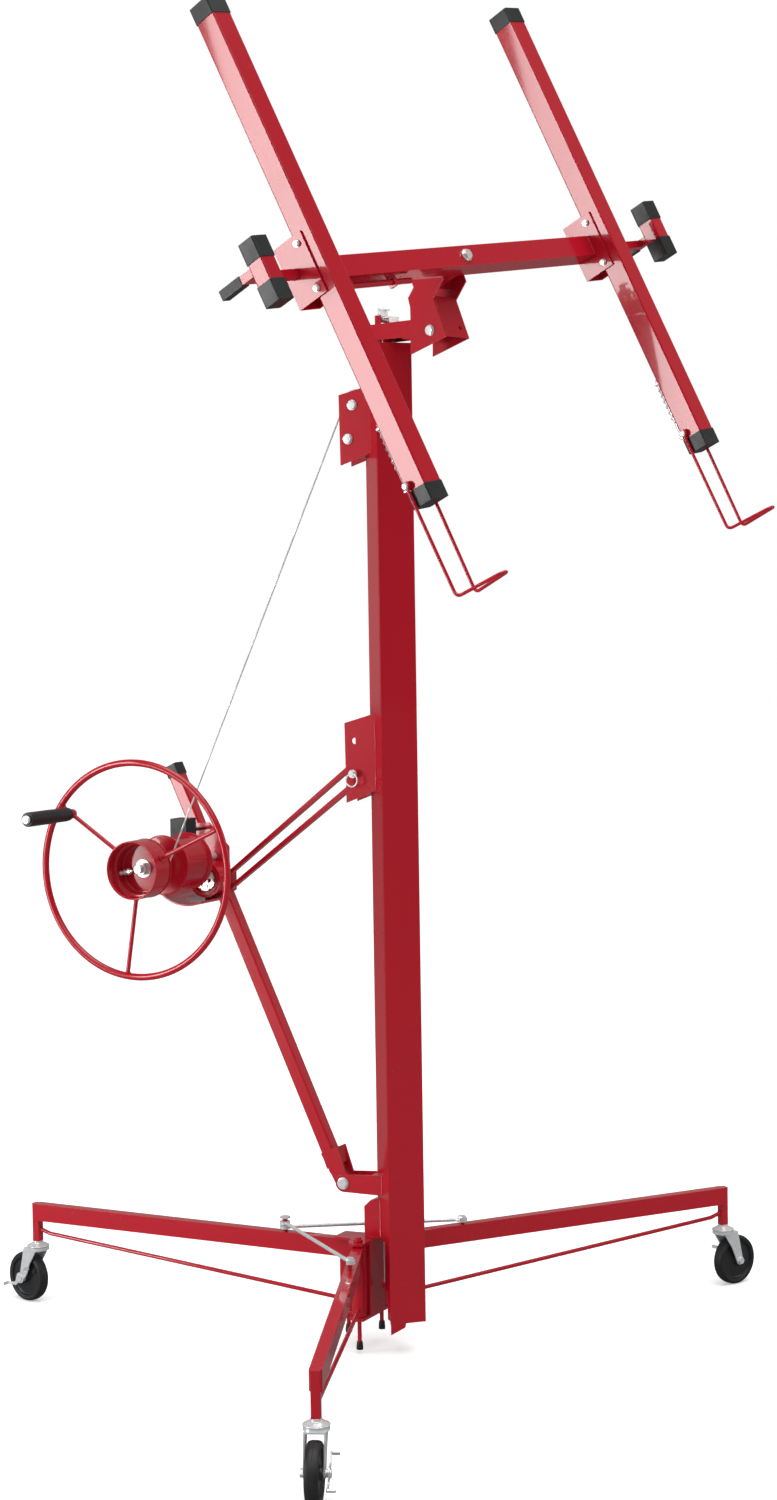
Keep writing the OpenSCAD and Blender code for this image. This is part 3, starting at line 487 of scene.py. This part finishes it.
# %% Carry, join and soften
def carried(shape, place):
    return [place @ Vector(v) for v in shape[0]], shape[1]


def joined(*shapes):
    verts, faces = [], []
    for some_verts, some_faces in shapes:
        faces += [[i + len(verts) for i in f] for f in some_faces]
        verts += some_verts
    return verts, faces


def along(at, way):
    """Place whose Z axis points along a direction."""
    turn = Vector(way).to_track_quat("Z", "Y").to_matrix().to_4x4()
    return Matrix.Translation(Vector(at)) @ turn


def shifted(x, y, z):
    return Matrix.Translation((x, y, z))


UPSIDE_DOWN = Matrix.Rotation(math.pi, 4, "X")
STANDING = Matrix.Rotation(math.pi / 2, 4, "X")
ALONG_X = along((0, 0, 0), (1, 0, 0))


def softened(points, radius, closed=True, steps=4):
    """The same outline with each corner turned into a short curve."""
    points = [Vector(p) for p in points]
    made = []
    for i, corner in enumerate(points):
        before, after = points[i - 1], points[(i + 1) % len(points)]
        if not closed and i in (0, len(points) - 1):
            made.append(corner)
            continue
        back, ahead = before - corner, after - corner
        if back.length < 1e-6 or ahead.length < 1e-6 or back.angle(ahead) > math.radians(176):
            made.append(corner)
            continue
        start = corner + back.normalized() * min(radius, back.length * 0.45)
        end = corner + ahead.normalized() * min(radius, ahead.length * 0.45)
        for k in range(steps + 1):
            t = k / steps
            made.append(start * (1 - t) ** 2 + corner * 2 * t * (1 - t) + end * t * t)
    return made


# %% Lathe
def turned_part(profile, steps=72, soft=0.5, soft_steps=3):
    """Revolves a closed outline of (radius, height) about Z."""
    outline = softened([(r, h, 0) for r, h in profile], soft, steps=soft_steps)
    count = len(outline)
    verts = [Vector((p.x * math.cos(a), p.x * math.sin(a), p.y))
             for a in (k * math.tau / steps for k in range(steps)) for p in outline]
    faces = [(k * count + i, k * count + (i + 1) % count,
              (k + 1) % steps * count + (i + 1) % count, (k + 1) % steps * count + i)
             for k in range(steps) for i in range(count)]
    return verts, faces


def rod(radius, low, high, chamfer=0.6, steps=32):
    """A solid round bar along Z with chamfered ends."""
    rings = [(radius - chamfer, low), (radius, low + chamfer), (radius, high - chamfer),
             (radius - chamfer, high)]
    verts = [Vector((r * math.cos(k * math.tau / steps), r * math.sin(k * math.tau / steps), h))
             for r, h in rings for k in range(steps)]
    faces = [(i * steps + k, i * steps + (k + 1) % steps, (i + 1) * steps + (k + 1) % steps,
              (i + 1) * steps + k) for i in range(3) for k in range(steps)]
    faces += [tuple(range(steps)), tuple(range(3 * steps, 4 * steps))]
    return verts, faces


# %% Bent tube
def bent_tube(path, radius, sides=14, closed=False):
    """A round bar along a path. The radius may be a function of the distance."""
    path = [Vector(p) for p in path]
    last = len(path) - 1
    verts, travelled = [], 0.0
    start_way = (path[1] - path[0]).normalized()
    lean = start_way.orthogonal().normalized()
    for i, point in enumerate(path):
        before = path[i - 1] if i or closed else path[0]
        after = path[(i + 1) % len(path)] if i < last or closed else path[last]
        way = (after - before).normalized()
        lean = (lean - way * lean.dot(way)).normalized()
        across = way.cross(lean)
        travelled += (point - path[i - 1]).length if i else 0
        size = radius(travelled) if callable(radius) else radius
        verts += [point + (lean * math.cos(a) + across * math.sin(a)) * size
                  for a in (k * math.tau / sides for k in range(sides))]
    hops = len(path) if closed else last
    faces = [(i * sides + k, i * sides + (k + 1) % sides,
              (i + 1) % len(path) * sides + (k + 1) % sides, (i + 1) % len(path) * sides + k)
             for i in range(hops) for k in range(sides)]
    if not closed:
        faces += [tuple(range(sides)), tuple(range(last * sides, (last + 1) * sides))]
    return verts, faces


# %% Punched plate
def punched_plate(outlines, thick, soft_edge=0.35):
    """A flat plate in XY, centred on Z, from an outer outline and its holes."""
    curve = bpy.data.curves.new("blank", "CURVE")
    curve.dimensions, curve.fill_mode = "2D", "BOTH"
    curve.extrude, curve.bevel_depth, curve.offset = thick / 2 - soft_edge, soft_edge, -soft_edge
    curve.bevel_resolution = 1
    for outline in outlines:
        spline = curve.splines.new("POLY")
        spline.points.add(len(outline) - 1)
        for spot, point in zip(spline.points, outline):
            spot.co = (point[0], point[1], 0, 1)
        spline.use_cyclic_u = True
    blank = bpy.data.objects.new("blank", curve)
    bpy.context.scene.collection.objects.link(blank)
    mesh = bpy.data.meshes.new_from_object(blank.evaluated_get(bpy.context.evaluated_depsgraph_get()))
    verts = [v.co.copy() for v in mesh.vertices]
    faces = [list(f.vertices) for f in mesh.polygons]
    bpy.data.objects.remove(blank)
    bpy.data.curves.remove(curve)
    bpy.data.meshes.remove(mesh)
    return verts, faces


def ring_of(radius, steps=32):
    angles = [k * math.tau / steps for k in range(steps)]
    return [(radius * math.cos(a), radius * math.sin(a)) for a in angles]


# %% [markdown]
# Bolts are seen from close by, so they get real features: a hexagon whose
# corners are cut by a cone, a washer with soft edges and a stud with rolled
# threads. The hexagon is made from rings that follow its own outline.

# %% Bolts
def hex_head(across_flats, high):
    steps, flat = 48, across_flats / 2
    crown = flat * 0.94
    rings = []
    for k in range(steps):
        a = k * math.tau / steps
        rim = flat / math.cos((a % (math.tau / 6)) - math.tau / 12)
        rings.append((a, rim, high - (rim - crown) * 0.58))
    verts = [Vector((rim * math.cos(a), rim * math.sin(a), 0)) for a, rim, _ in rings]
    verts += [Vector((rim * math.cos(a), rim * math.sin(a), h)) for a, rim, h in rings]
    verts += [Vector((crown * math.cos(a), crown * math.sin(a), high)) for a, _, _ in rings]
    faces = [(i * steps + k, i * steps + (k + 1) % steps, (i + 1) * steps + (k + 1) % steps,
              (i + 1) * steps + k) for i in range(2) for k in range(steps)]
    return verts, faces + [tuple(range(steps)), tuple(range(2 * steps, 3 * steps))]


def washer(bore, outer, thick):
    return turned_part([(bore, 0), (outer, 0), (outer, thick), (bore, thick)], 48, 0.3, 2)


def thread(radius, low, high, pitch=1.25):
    count = max(2, int((high - low) / pitch))
    step = (high - low) / count
    profile = [(0.6, low), (radius - 0.8, low)]
    for i in range(count):
        profile += [(radius - 0.62, low + (i + 0.1) * step), (radius, low + (i + 0.5) * step)]
    profile += [(radius - 0.8, high), (0.6, high)]
    return turned_part(profile, 32, 0.05, 1)


def through_bolt(radius, half, flats, at, way=(1, 0, 0)):
    """Bolt, two washers and a nut through a joint that is 2 x half thick."""
    place = along(at, way)
    flip = place @ UPSIDE_DOWN
    parts = [carried(rod(radius, -half - 1, half + 2), place)]
    parts.append(carried(thread(radius, half + 1.5, half + 6.6), place))
    for side_place in (place, flip):
        on_washer = side_place @ shifted(0, 0, half + 0.1)
        parts.append(carried(washer(radius, flats * 0.62, 1.4), on_washer))
        parts.append(carried(hex_head(flats, 4.2), on_washer @ shifted(0, 0, 1.4)))
    return joined(*parts)


# %% Bolts of the mast, tilt, spin and arms
mast_rows = [through_bolt(5, 23, 16, (0, 36, 1802)), through_bolt(5, 23, 16, (0, 46, 1739)),
             through_bolt(6, 21, 19, (0, POST_Y, POST_Z + 27)), through_bolt(5, 18.6, 16, (0, 358, 893))]
show("mast_bolt_set", *carried(joined(*mast_rows), BASE), zinc, "base", ("mast_bolts",))
show("tilt_bolt_set", *carried(through_bolt(5, 32.1, 16, (0, 0, 0)), TILT), zinc, "head", ("tilt_bolt",))
SPIN_AT = 97.6
spin_parts = [rod(6, 25, 114),
              thread(6, 110, 114.4),
              carried(hex_head(17, 3.8), shifted(0, 0, 28.2) @ UPSIDE_DOWN),
              carried(washer(6, 12, 2), shifted(0, 0, 108.3)),
              carried(hex_head(17, 5.4), shifted(0, 0, 110.3))]
spin_parts = [carried(part, shifted(0, SPIN_AT, 0)) for part in spin_parts]
show("spin_bolt_set", *carried(joined(*spin_parts), TILT), zinc, "tilter", ("spin_bolt",))
print("bolt sets on the mast, tilt and spin")

# %% Bolts of the cradle arms
ARM_X, ARM_HALF = 424.0, 22.0
cradle_parts = []
for s in (-1, 1):
    arm = shifted(s * ARM_X, 0, 0)
    for u in (-42, 42):
        cradle_parts.append(carried(through_bolt(3, 26.1, 10, (0, u, 8 - ARM_HALF)), arm))
    pin_place = arm @ along((0, HOOK_U, HOOK_N), (1, 0, 0))
    cradle_parts.append(carried(rod(4, -32, 32), pin_place))
    pin_head = turned_part([(1, 0), (6.5, 0), (6.2, 1.4), (4.2, 2.4), (1, 2.4)], 32)
    for end in (pin_place, pin_place @ UPSIDE_DOWN):
        cradle_parts.append(carried(pin_head, end @ shifted(0, 0, 31.6)))
    # sprung keeper rod behind the arm, with its two brackets
    cradle_parts.append(carried(rod(3.5, -410, -290), arm @ along((-6, 0, -30), (0, 1, 0))))
    coil = [Vector((5.2 * math.cos(t), 5.2 * math.sin(t), -382 + t * 1.9)) for t in
            (k * math.tau / 14 for k in range(14 * 7 + 1))]
    cradle_parts.append(carried(bent_tube(coil, 0.8, 8), arm @ along((-6, 0, -30), (0, 1, 0))))
    lip = punched_plate([softened([(-16, -420), (12, -420), (12, -376), (-16, -376)], 4)], 2.1)
    cradle_parts.append(carried(lip, arm @ shifted(0, 0, -ARM_HALF - 1.15)))
    for u in (-414.5, -298.5):
        tab = punched_plate([softened([(-12, -36), (0, -36), (0, -22.2), (-12, -22.2)], 2.5)], 3)
        cradle_parts.append(carried(tab, arm @ shifted(0, u, 0) @ STANDING))
show("arm_bolt_set", *carried(joined(*cradle_parts), CRADLE), zinc, "cradle", ("arm_bolts",))
print("arm bolts, hook pins and keepers")

# %% [markdown]
# The hand wheel is a bent and welded tube. Three round spokes lean from the
# deep cup at the hub out to the rim, and the first one carries the crank. The
# cup holds a stack of bright washers and a nut, and a small cross bolt.

# %% Hand wheel
RIM_R, RIM_X = 200.0, -300.0
SPOKES = (36, 156, 276)
CRANK_R = 173.0


def about_x(shape):
    """Lays a turned part along the winch shaft."""
    return carried(shape, ALONG_X)


rim_path = [(RIM_X, RIM_R * math.cos(a), RIM_R * math.sin(a))
            for a in (k * math.tau / 160 for k in range(160))]
wheel_parts = [bent_tube(rim_path, 6.5, 20, closed=True)]
for a in SPOKES:
    turn = Matrix.Rotation(math.radians(a), 4, "X")
    spoke = bent_tube([(-288, 55.8, 0), (-292, 104, 0), (RIM_X, RIM_R - 2, 0)], 4, 18)
    wheel_parts.append(carried(spoke, turn))
first = Matrix.Rotation(math.radians(SPOKES[0]), 4, "X")
boss = turned_part([(5.1, -306), (9, -306), (9, -294), (5.1, -294)], 40, 0.8)
wheel_parts.append(carried(boss, first @ along((0, CRANK_R, 0), (1, 0, 0))))
show("hand_wheel", *carried(joined(*wheel_parts), WINCH), red_paint, "crank", ("handwheel",))
print("hand wheel", 2 * RIM_R, "mm across")

# %% Hub cup, spool and brake drum
cup = turned_part([(8.1, -262.4), (53, -262.4), (55, -266), (55, -309), (55, -312), (52.4, -312),
                   (51.2, -309), (51, -292), (46.5, -291), (46.2, -271.5), (44, -270), (8.1, -270)],
                  96, 1.4, 3)
show("hub_cup_turned", *carried(about_x(cup), WINCH), red_paint, "crank", ("hub_cup",))
spool = turned_part([(8.1, -262.2), (55, -262.2), (56, -261), (55, -260), (19.5, -259.8), (18, -258),
                     (18, -206), (19.5, -204.2), (55, -204), (57, -203), (57, -201), (55, -200),
                     (8.1, -200)], 96, 0.9, 3)
show("spool_turned", *carried(about_x(spool), WINCH), red_paint, "crank", ("spool",))
drum = turned_part([(44, -190), (8.1, -190), (8.1, -199.8), (53, -199.8), (53, -194), (50, -192.6),
                    (50, -118), (55, -116), (55, -112), (44, -112)], 96, 0.9, 3)
web = turned_part([(8.1, -140), (44.4, -140), (44.4, -134), (8.1, -134)], 64, 0.6)
show("brake_drum_turned", *carried(about_x(joined(drum, web)), WINCH), red_paint, "crank", ("brake_drum",))

# %% Shaft, washers and cross bolt
shaft_parts = [rod(8, -288, -9, 1.0, 40),
               thread(8, -292, -281),
               carried(washer(8, 17, 1.5), shifted(0, 0, -271.6)),
               carried(washer(8, 14.2, 1.3), shifted(0, 0, -273.0)),
               carried(hex_head(22, 8.4), shifted(0, 0, -273.1) @ UPSIDE_DOWN)]
CROSS_X, CROSS_LEAN = -279.0, math.radians(-12)
cross_parts = [rod(2.5, 20, 49, 0.4, 20),
               carried(hex_head(9, 4), shifted(0, 0, 24)),
               carried(washer(2.6, 6.4, 1.2), shifted(0, 0, 28.2)),
               carried(turned_part([(2.4, 0), (5, 0), (5.4, 1.5), (5, 3.6), (2.4, 3.6)], 32),
                       shifted(0, 0, 34)),
               carried(hex_head(8, 3.2), shifted(0, 0, 43))]
on_shaft = Matrix.Rotation(CROSS_LEAN, 4, "X") @ ALONG_X @ along((0, 0, CROSS_X), (1, 0, 0))
across = carried(joined(*cross_parts), on_shaft)
axial = about_x(joined(*shaft_parts))
show("shaft_and_nuts", *carried(joined(axial, across), WINCH), zinc, "crank", ("shaft",))
print("winch shaft dressed")

# %% Crank spindle and grip
on_crank = WINCH @ first @ along((0, CRANK_R, 0), (-1, 0, 0))
spindle = joined(rod(5, 291, 446),
                 turned_part([(1, 291), (8, 291), (8, 293.8), (1, 293.8)], 40),
                 turned_part([(1, 442.6), (8.4, 442.6), (8.4, 445), (6.5, 447), (1, 447)], 48))
show("crank_spindle_turned", *carried(spindle, on_crank), zinc, "crank", ("crank_spindle",))
GRIP_FROM, GRIP_LONG = 307.0, 134.0
grip_side = [(5.1, 0), (10.2, 0), (12.4, 3), (12.4, 8)]
for k in range(5):
    groove = 14 + k * 6.5
    grip_side += [(13, groove - 2), (12.2, groove), (13, groove + 2)]
grip_side += [(13.5, 66), (13.5, GRIP_LONG - 2), (12.6, GRIP_LONG), (8.8, GRIP_LONG), (8.6, GRIP_LONG - 2),
              (5.1, GRIP_LONG - 2)]
grip = carried(turned_part(grip_side, 64, 1.2, 3), shifted(0, 0, GRIP_FROM))
show("crank_grip_moulded", *carried(grip, on_crank), vinyl, "grip", ("crank_grip",))
print("crank grip", GRIP_LONG, "mm long")

# %% [markdown]
# The ratchet plate is zinc sheet with punched windows. It is drawn as outlines:
# one for the outside, and one for each window. A small pawl with its bolt lies
# on it, beside a painted rivet.

# %% Ratchet plate and rivet
PAWL_Y, PAWL_Z = -4.0, -42.0
plate_out = []
for k in range(72):
    a = k * math.tau / 72
    notch = 3.2 * max(0.0, math.cos(6 * a)) ** 4
    plate_out.append(((22 - notch) * math.cos(a), (22 - notch) * math.sin(a)))
kidney = softened([(-14, -3), (-4, -7), (4, -14), (9, -11), (3, -4), (-5, 1), (-13, 3)], 2.4)
window = softened([(-4, 6), (3, 5), (3, 11), (-2, 15), (-6, 12)], 1.8)
plate = punched_plate([plate_out, kidney, window], 3.5)
pawl = punched_plate([softened([(-6, -16), (-9, 0), (0, 10), (8, 0), (4, -12)], 2)], 1.9)
on_boss = along((0, PAWL_Y, PAWL_Z), (1, 0, 0))
ratchet_parts = [carried(plate, on_boss @ shifted(0, 0, -58.25)),
                 carried(rod(6, -63, -27), on_boss),
                 carried(pawl, on_boss @ shifted(0, 0, -61.05)),
                 carried(hex_head(10, 2.6), on_boss @ shifted(0, 0, -60) @ UPSIDE_DOWN)]
show("ratchet_plate", *carried(joined(*ratchet_parts), WINCH), zinc, "pawl", ("ratchet",))
rivet = turned_part([(0.4, 0), (5.2, 0), (5.0, -1.6), (3.4, -2.8), (0.4, -3.2)], 32, 0.6)
rivet_at = along((0, PAWL_Y + 9, PAWL_Z + 8), (1, 0, 0)) @ shifted(0, 0, -59.9)
show("ratchet_rivet", *carried(carried(rivet, rivet_at), WINCH), red_paint, "pawl")

# %% [markdown]
# The lift cable is laid from six wires round a core. Each wire follows the
# cable's path on a long helix, so the strands are real and catch the light. The
# same maker winds it on the spool.

# %% Cable
CABLE_R, SHEAVE_R, SPOOL_R = 1.6, 28.0, 18.0
SHEAVE_Y, SHEAVE_Z = 36.0, 1802.0
SPOOL_X = -220.0
CABLE_LEAN = math.radians(19.6)


def laid_cable(path, radius, lay=22.0, wires=6):
    wire = radius * 0.36
    path = [Vector(p) for p in path]
    lengths = [0.0]
    for a, b in zip(path, path[1:]):
        lengths.append(lengths[-1] + (b - a).length)
    lean = (path[1] - path[0]).orthogonal().normalized()
    strands = [[] for _ in range(wires)]
    for i, point in enumerate(path):
        way = (path[min(i + 1, len(path) - 1)] - path[max(i - 1, 0)]).normalized()
        lean = (lean - way * lean.dot(way)).normalized()
        across = way.cross(lean)
        for k, strand in enumerate(strands):
            a = math.tau * (k / wires + lengths[i] / lay)
            strand.append(point + (lean * math.cos(a) + across * math.sin(a)) * (radius - wire))
    core = bent_tube(path[::4] + [path[-1]], radius * 0.45, 6)
    return joined(core, *[bent_tube(strand, wire, 6) for strand in strands])


def finely(a, b, step=2.5):
    a, b = Vector(a), Vector(b)
    count = int((b - a).length / step)
    return [a.lerp(b, k / count) for k in range(count + 1)]


winch_y = (WINCH.translation.y - BASE.translation.y) * 1000
winch_z = WINCH.translation.z * 1000
lean_y, lean_z = math.cos(CABLE_LEAN), math.sin(CABLE_LEAN)
run_r = SPOOL_R + CABLE_R + 0.3
top_end = Vector((0, SHEAVE_Y + SHEAVE_R * lean_y, SHEAVE_Z + SHEAVE_R * lean_z))
low_end = Vector((SPOOL_X, winch_y - run_r * lean_y, winch_z - run_r * lean_z))
over = [Vector((0, SHEAVE_Y + SHEAVE_R * math.cos(a), SHEAVE_Z + SHEAVE_R * math.sin(a)))
        for a in (math.pi - (math.pi - CABLE_LEAN) * k / 36 for k in range(36))]
show("lift_cable", *carried(laid_cable(over + finely(top_end, low_end), CABLE_R), BASE),
     drawn_steel, "base", ("cable",))
TURNS, STEPS, WIND_R = 4, 200, SPOOL_R + CABLE_R + 0.1
wound = [Vector((SPOOL_X - 1.5 - 14.0 * t / TURNS, -WIND_R * math.cos(CABLE_LEAN - math.tau * t),
                 -WIND_R * math.sin(CABLE_LEAN - math.tau * t)))
         for t in (k * TURNS / STEPS for k in range(STEPS + 1))]
show("wound_cable", *carried(laid_cable(wound, CABLE_R - 0.1), WINCH),
     drawn_steel, "crank", ("cable_coil",))
groove = turned_part([(5.1, -8.6), (30, -8.6), (31, -7.8), (31, -7.2), (26.3, -1.6), (26.1, 0),
                      (26.3, 1.6), (31, 7.2), (31, 7.8), (30, 8.6), (5.1, 8.6)], 72, 0.5)
show("sheave_turned", *carried(groove, BASE @ along((0, SHEAVE_Y, SHEAVE_Z), (1, 0, 0))),
     zinc, "sheave_wheel", ("sheave",))
print("cable runs", round((low_end - top_end).length), "mm to the spool")

# %% [markdown]
# Each caster has a raceway with its stem, a rubber tyre on a black disc, and a
# pressed brake lever with its two foot tabs. One loop makes all three.

# %% Casters
WHEEL_R, TRAIL = 51.0, 32.0
RACE_BODY = {"left": "left_leg", "right": "right_leg", "rear": "base"}


def arc(radius, start, end, steps=12):
    angles = [math.radians(start + (end - start) * k / steps) for k in range(steps + 1)]
    return [(radius * math.cos(a), radius * math.sin(a), 0) for a in angles]


race = joined(turned_part([(6, 118), (21.8, 118), (23, 119), (22.6, 120.6), (20, 121.6), (14, 125),
                           (10.3, 126), (10, 129.7), (6, 129.7)], 72, 0.7), rod(6, 106, 174))
tyre = turned_part([(38.2, -8), (40, -11), (46.4, -12), (49.4, -10), (51, -5), (51, -0.7), (50.6, 0),
                    (51, 0.7), (51, 5), (49.4, 10), (46.4, 12), (40, 11), (38.2, 8)], 96, 1.2)
disc = turned_part([(4.06, -14), (11, -14), (12.4, -9.4), (30, -6.6), (36, -6.2), (38.1, -7.6), (38.1, 7.6),
                    (36, 6.2), (30, 6.6), (12.4, 9.4), (11, 14), (4.06, 14)], 72, 0.8)
lever_line = ([(-34, 9, 0), (-34, 4, 0), (-20, -5, 0)] + arc(11, 215, 325)
              + [(20, -8, 0), (40, 4, 0), (40, 8, 0), (18, -1, 0)] + arc(11, 40, 140) + [(-20, 2, 0)])
lever = punched_plate([softened(lever_line, 1.5, steps=2), ring_of(4.3)], 2.5)
# a sheet drawn flat, stood up so that it faces along X
FACING_X = Matrix(((0, 0, 1, 0), (1, 0, 0, 0), (0, 1, 0, 0), (0, 0, 0, 1)))
lever_parts = [carried(lever, shifted(0, 1.25, 0) @ STANDING)]
for x, top in ((-34.75, 10), (39.25, 9)):
    foot_tab = punched_plate([softened([(0.2, 3), (16, 3), (16, top), (0.2, top)], 2)], 2.5)
    lever_parts.append(carried(foot_tab, shifted(x, 0, 0) @ FACING_X))
lever_at = shifted(TRAIL, 22.4, WHEEL_R) @ Matrix.Rotation(math.radians(32), 4, "Y")
axle_at = along((TRAIL, 0, WHEEL_R), (0, 1, 0))
for side, place in CASTER.items():
    show("race_" + side + "_turned", *carried(race, place), zinc, RACE_BODY[side], ("race_" + side,))
    show("tyre_" + side, *carried(tyre, place @ axle_at), tyre_rubber, side + "_wheel", ("wheel_" + side,))
    show("disc_" + side, *carried(disc, place @ axle_at), disc_plastic, side + "_wheel")
    show("lever_" + side, *carried(joined(*lever_parts), place @ lever_at), zinc, side + "_brake",
         ("brake_" + side,))
print("casters:", len(CASTER))

# %% [markdown]
# The hooks that hold a board are bent from one wire each: down from an eye,
# across into a narrow hairpin, and back up to the other eye.

# %% Wire hooks
HOOK_REACH = 204.0
bends = [(28, -6, 0), (26, -HOOK_REACH, 0), (9, -HOOK_REACH, 92),
         (-9, -HOOK_REACH, 92), (-26, -HOOK_REACH, 0), (-28, -6, 0)]
eye = turned_part([(4.06, -3), (8, -3), (8, 3), (4.06, 3)], 40, 1.4)
hook = joined(bent_tube(softened(bends, 11, closed=False, steps=8), 3, 20),
              *[carried(eye, along((x, 0, 0), (1, 0, 0))) for x in (-28, 28)])
for side, x in (("left", -ARM_X), ("right", ARM_X)):
    place = CRADLE @ shifted(x, HOOK_U, HOOK_N)
    show("wire_hook_" + side, *carried(hook, place), red_paint, side + "_hook", ("hook_" + side,))
print("wire hooks reach", HOOK_REACH, "mm")

# %% [markdown]
# The frame is welded, and each seam shows a bead: a thin rod whose radius
# ripples as the welder's pool froze. Straight beads run along brackets and
# plates. Ring beads go round the ends of rods.

# %% Weld beads
def bead(a, b, radius=1.5):
    return bent_tube(finely(a, b, 0.9), lambda d: radius * (1 + 0.16 * math.sin(d * math.tau / 2.8)), 10)


def ring_bead(radius, thick=1.3):
    path = [(radius * math.cos(a), radius * math.sin(a), 0) for a in (k * math.tau / 96 for k in range(96))]
    return bent_tube(path, lambda d: thick * (1 + 0.14 * math.sin(d * math.tau / 2.8)), 8, closed=True)


MAST_HALF_DIAGONAL = 49.85
mast_y = -MAST_BACK
base_beads = []
for half, low, high in ((12.5, 220, 292), (21, 304, 340), (23, 1082, 1122), (23, 1150, 1200)):
    y = mast_y + MAST_HALF_DIAGONAL - half
    for s in (-1, 1):
        base_beads.append(bead((s * (half + 0.4), y, low), (s * (half + 0.4), y, high)))
for z in (72.6, 208.9):
    for s in (-1, 1):
        base_beads.append(bead((s * 22.4, 29, z), (s * 22.4, 63, z)))
    base_beads.append(bead((-21, 64.4, z), (21, 64.4, z)))
base_beads.append(carried(ring_bead(4.3), shifted(0, 88, 65.6)))
show("base_welds", *carried(joined(*base_beads), BASE), red_paint, "base")

LEG_TOP, BEAM_LOW, POST_LOW, POST_HALF = 208.0, 173.0, 130.0, 8.25
for side, (place, long) in LEG.items():
    under, rod_end = BEAM_LOW - 0.3, (long - POST_HALF - 0.4, 0, POST_LOW + 23.8)
    leg_beads = []
    for y in (-POST_HALF, POST_HALF):
        leg_beads.append(bead((long + 0.4, y, BEAM_LOW), (long + 0.4, y, LEG_TOP - 1), 1.3))
    for y in (-POST_HALF - 0.2, POST_HALF + 0.2):
        leg_beads.append(bead((long - 6.5, y, under), (long, y, under), 1.2))
    inner = long - POST_HALF - 0.3
    leg_beads.append(bead((inner, -6.5, under), (inner, 6.5, under), 1.2))
    leg_beads.append(carried(ring_bead(4.4), along(rod_end, (1, 0, 0.3))))
    show("leg_welds_" + side, *carried(joined(*leg_beads), place), red_paint, RACE_BODY[side])

wheel_beads = []
for a in SPOKES:
    turn = Matrix.Rotation(math.radians(a), 4, "X")
    wheel_beads.append(carried(ring_bead(4.5), turn @ along((RIM_X + 0.3, RIM_R - 6.2, 0), (0, 1, 0))))
    wheel_beads.append(carried(ring_bead(4.4), turn @ along((-288.5, 57.2, 0), (0, 1, 0))))
show("wheel_welds", *carried(joined(*wheel_beads), WINCH), red_paint, "crank")
post_beads = [bead((-14.4, y, low), (-14.4, y, low + 34)) for y in (-13.6, 13.6) for low in (664, 724)]
show("post_welds", *carried(joined(*post_beads), POST), red_paint, "base")

BAR_N, BAR_HALF, SADDLE_HALF = -43.5, 20.0, 26.0
cradle_beads = []
for x in (SADDLE_HALF - ARM_X, ARM_X - SADDLE_HALF):
    for n in (BAR_N - BAR_HALF, BAR_N + BAR_HALF):
        cradle_beads.append(bead((x, -BAR_HALF + 3, n), (x, BAR_HALF - 3, n)))
for x in (-334, -326, -214, -206):
    cradle_beads.append(bead((x, -BAR_HALF - 0.3, BAR_N - 7), (x, -BAR_HALF - 0.3, BAR_N + 7), 1.2))
show("cradle_welds", *carried(joined(*cradle_beads), CRADLE), red_paint, "cradle")
print("weld beads on base, legs, winch and cradle")

# %% [markdown]
# Each lock rod hooks over a stud on its leg. A loose zinc washer lies on the
# rod, and a thin nut closes the stud. A third nut closes the rods' pivot.

# %% Stud washers and nuts
STUD_AT, ROD_TOPS = 180.0, {"left": 227.8, "right": 219.6}
for side, top in ROD_TOPS.items():
    place, _ = LEG[side]
    collar = carried(washer(5.1, 8.6, 1.2), shifted(STUD_AT, 0, top))
    show("stud_washer_" + side, *carried(collar, place), zinc, side + "_leg")
    cap = carried(hex_head(15, 2.8), shifted(STUD_AT, 0, top + 1.2))
    show("stud_nut_" + side, *carried(cap, place), zinc, side + "_leg")
show("rod_pivot_nut", *carried(hex_head(18, 3.8), BASE @ shifted(0, 226, 233.4)), zinc, "base")
print("stud nuts:", len(ROD_TOPS) + 1)
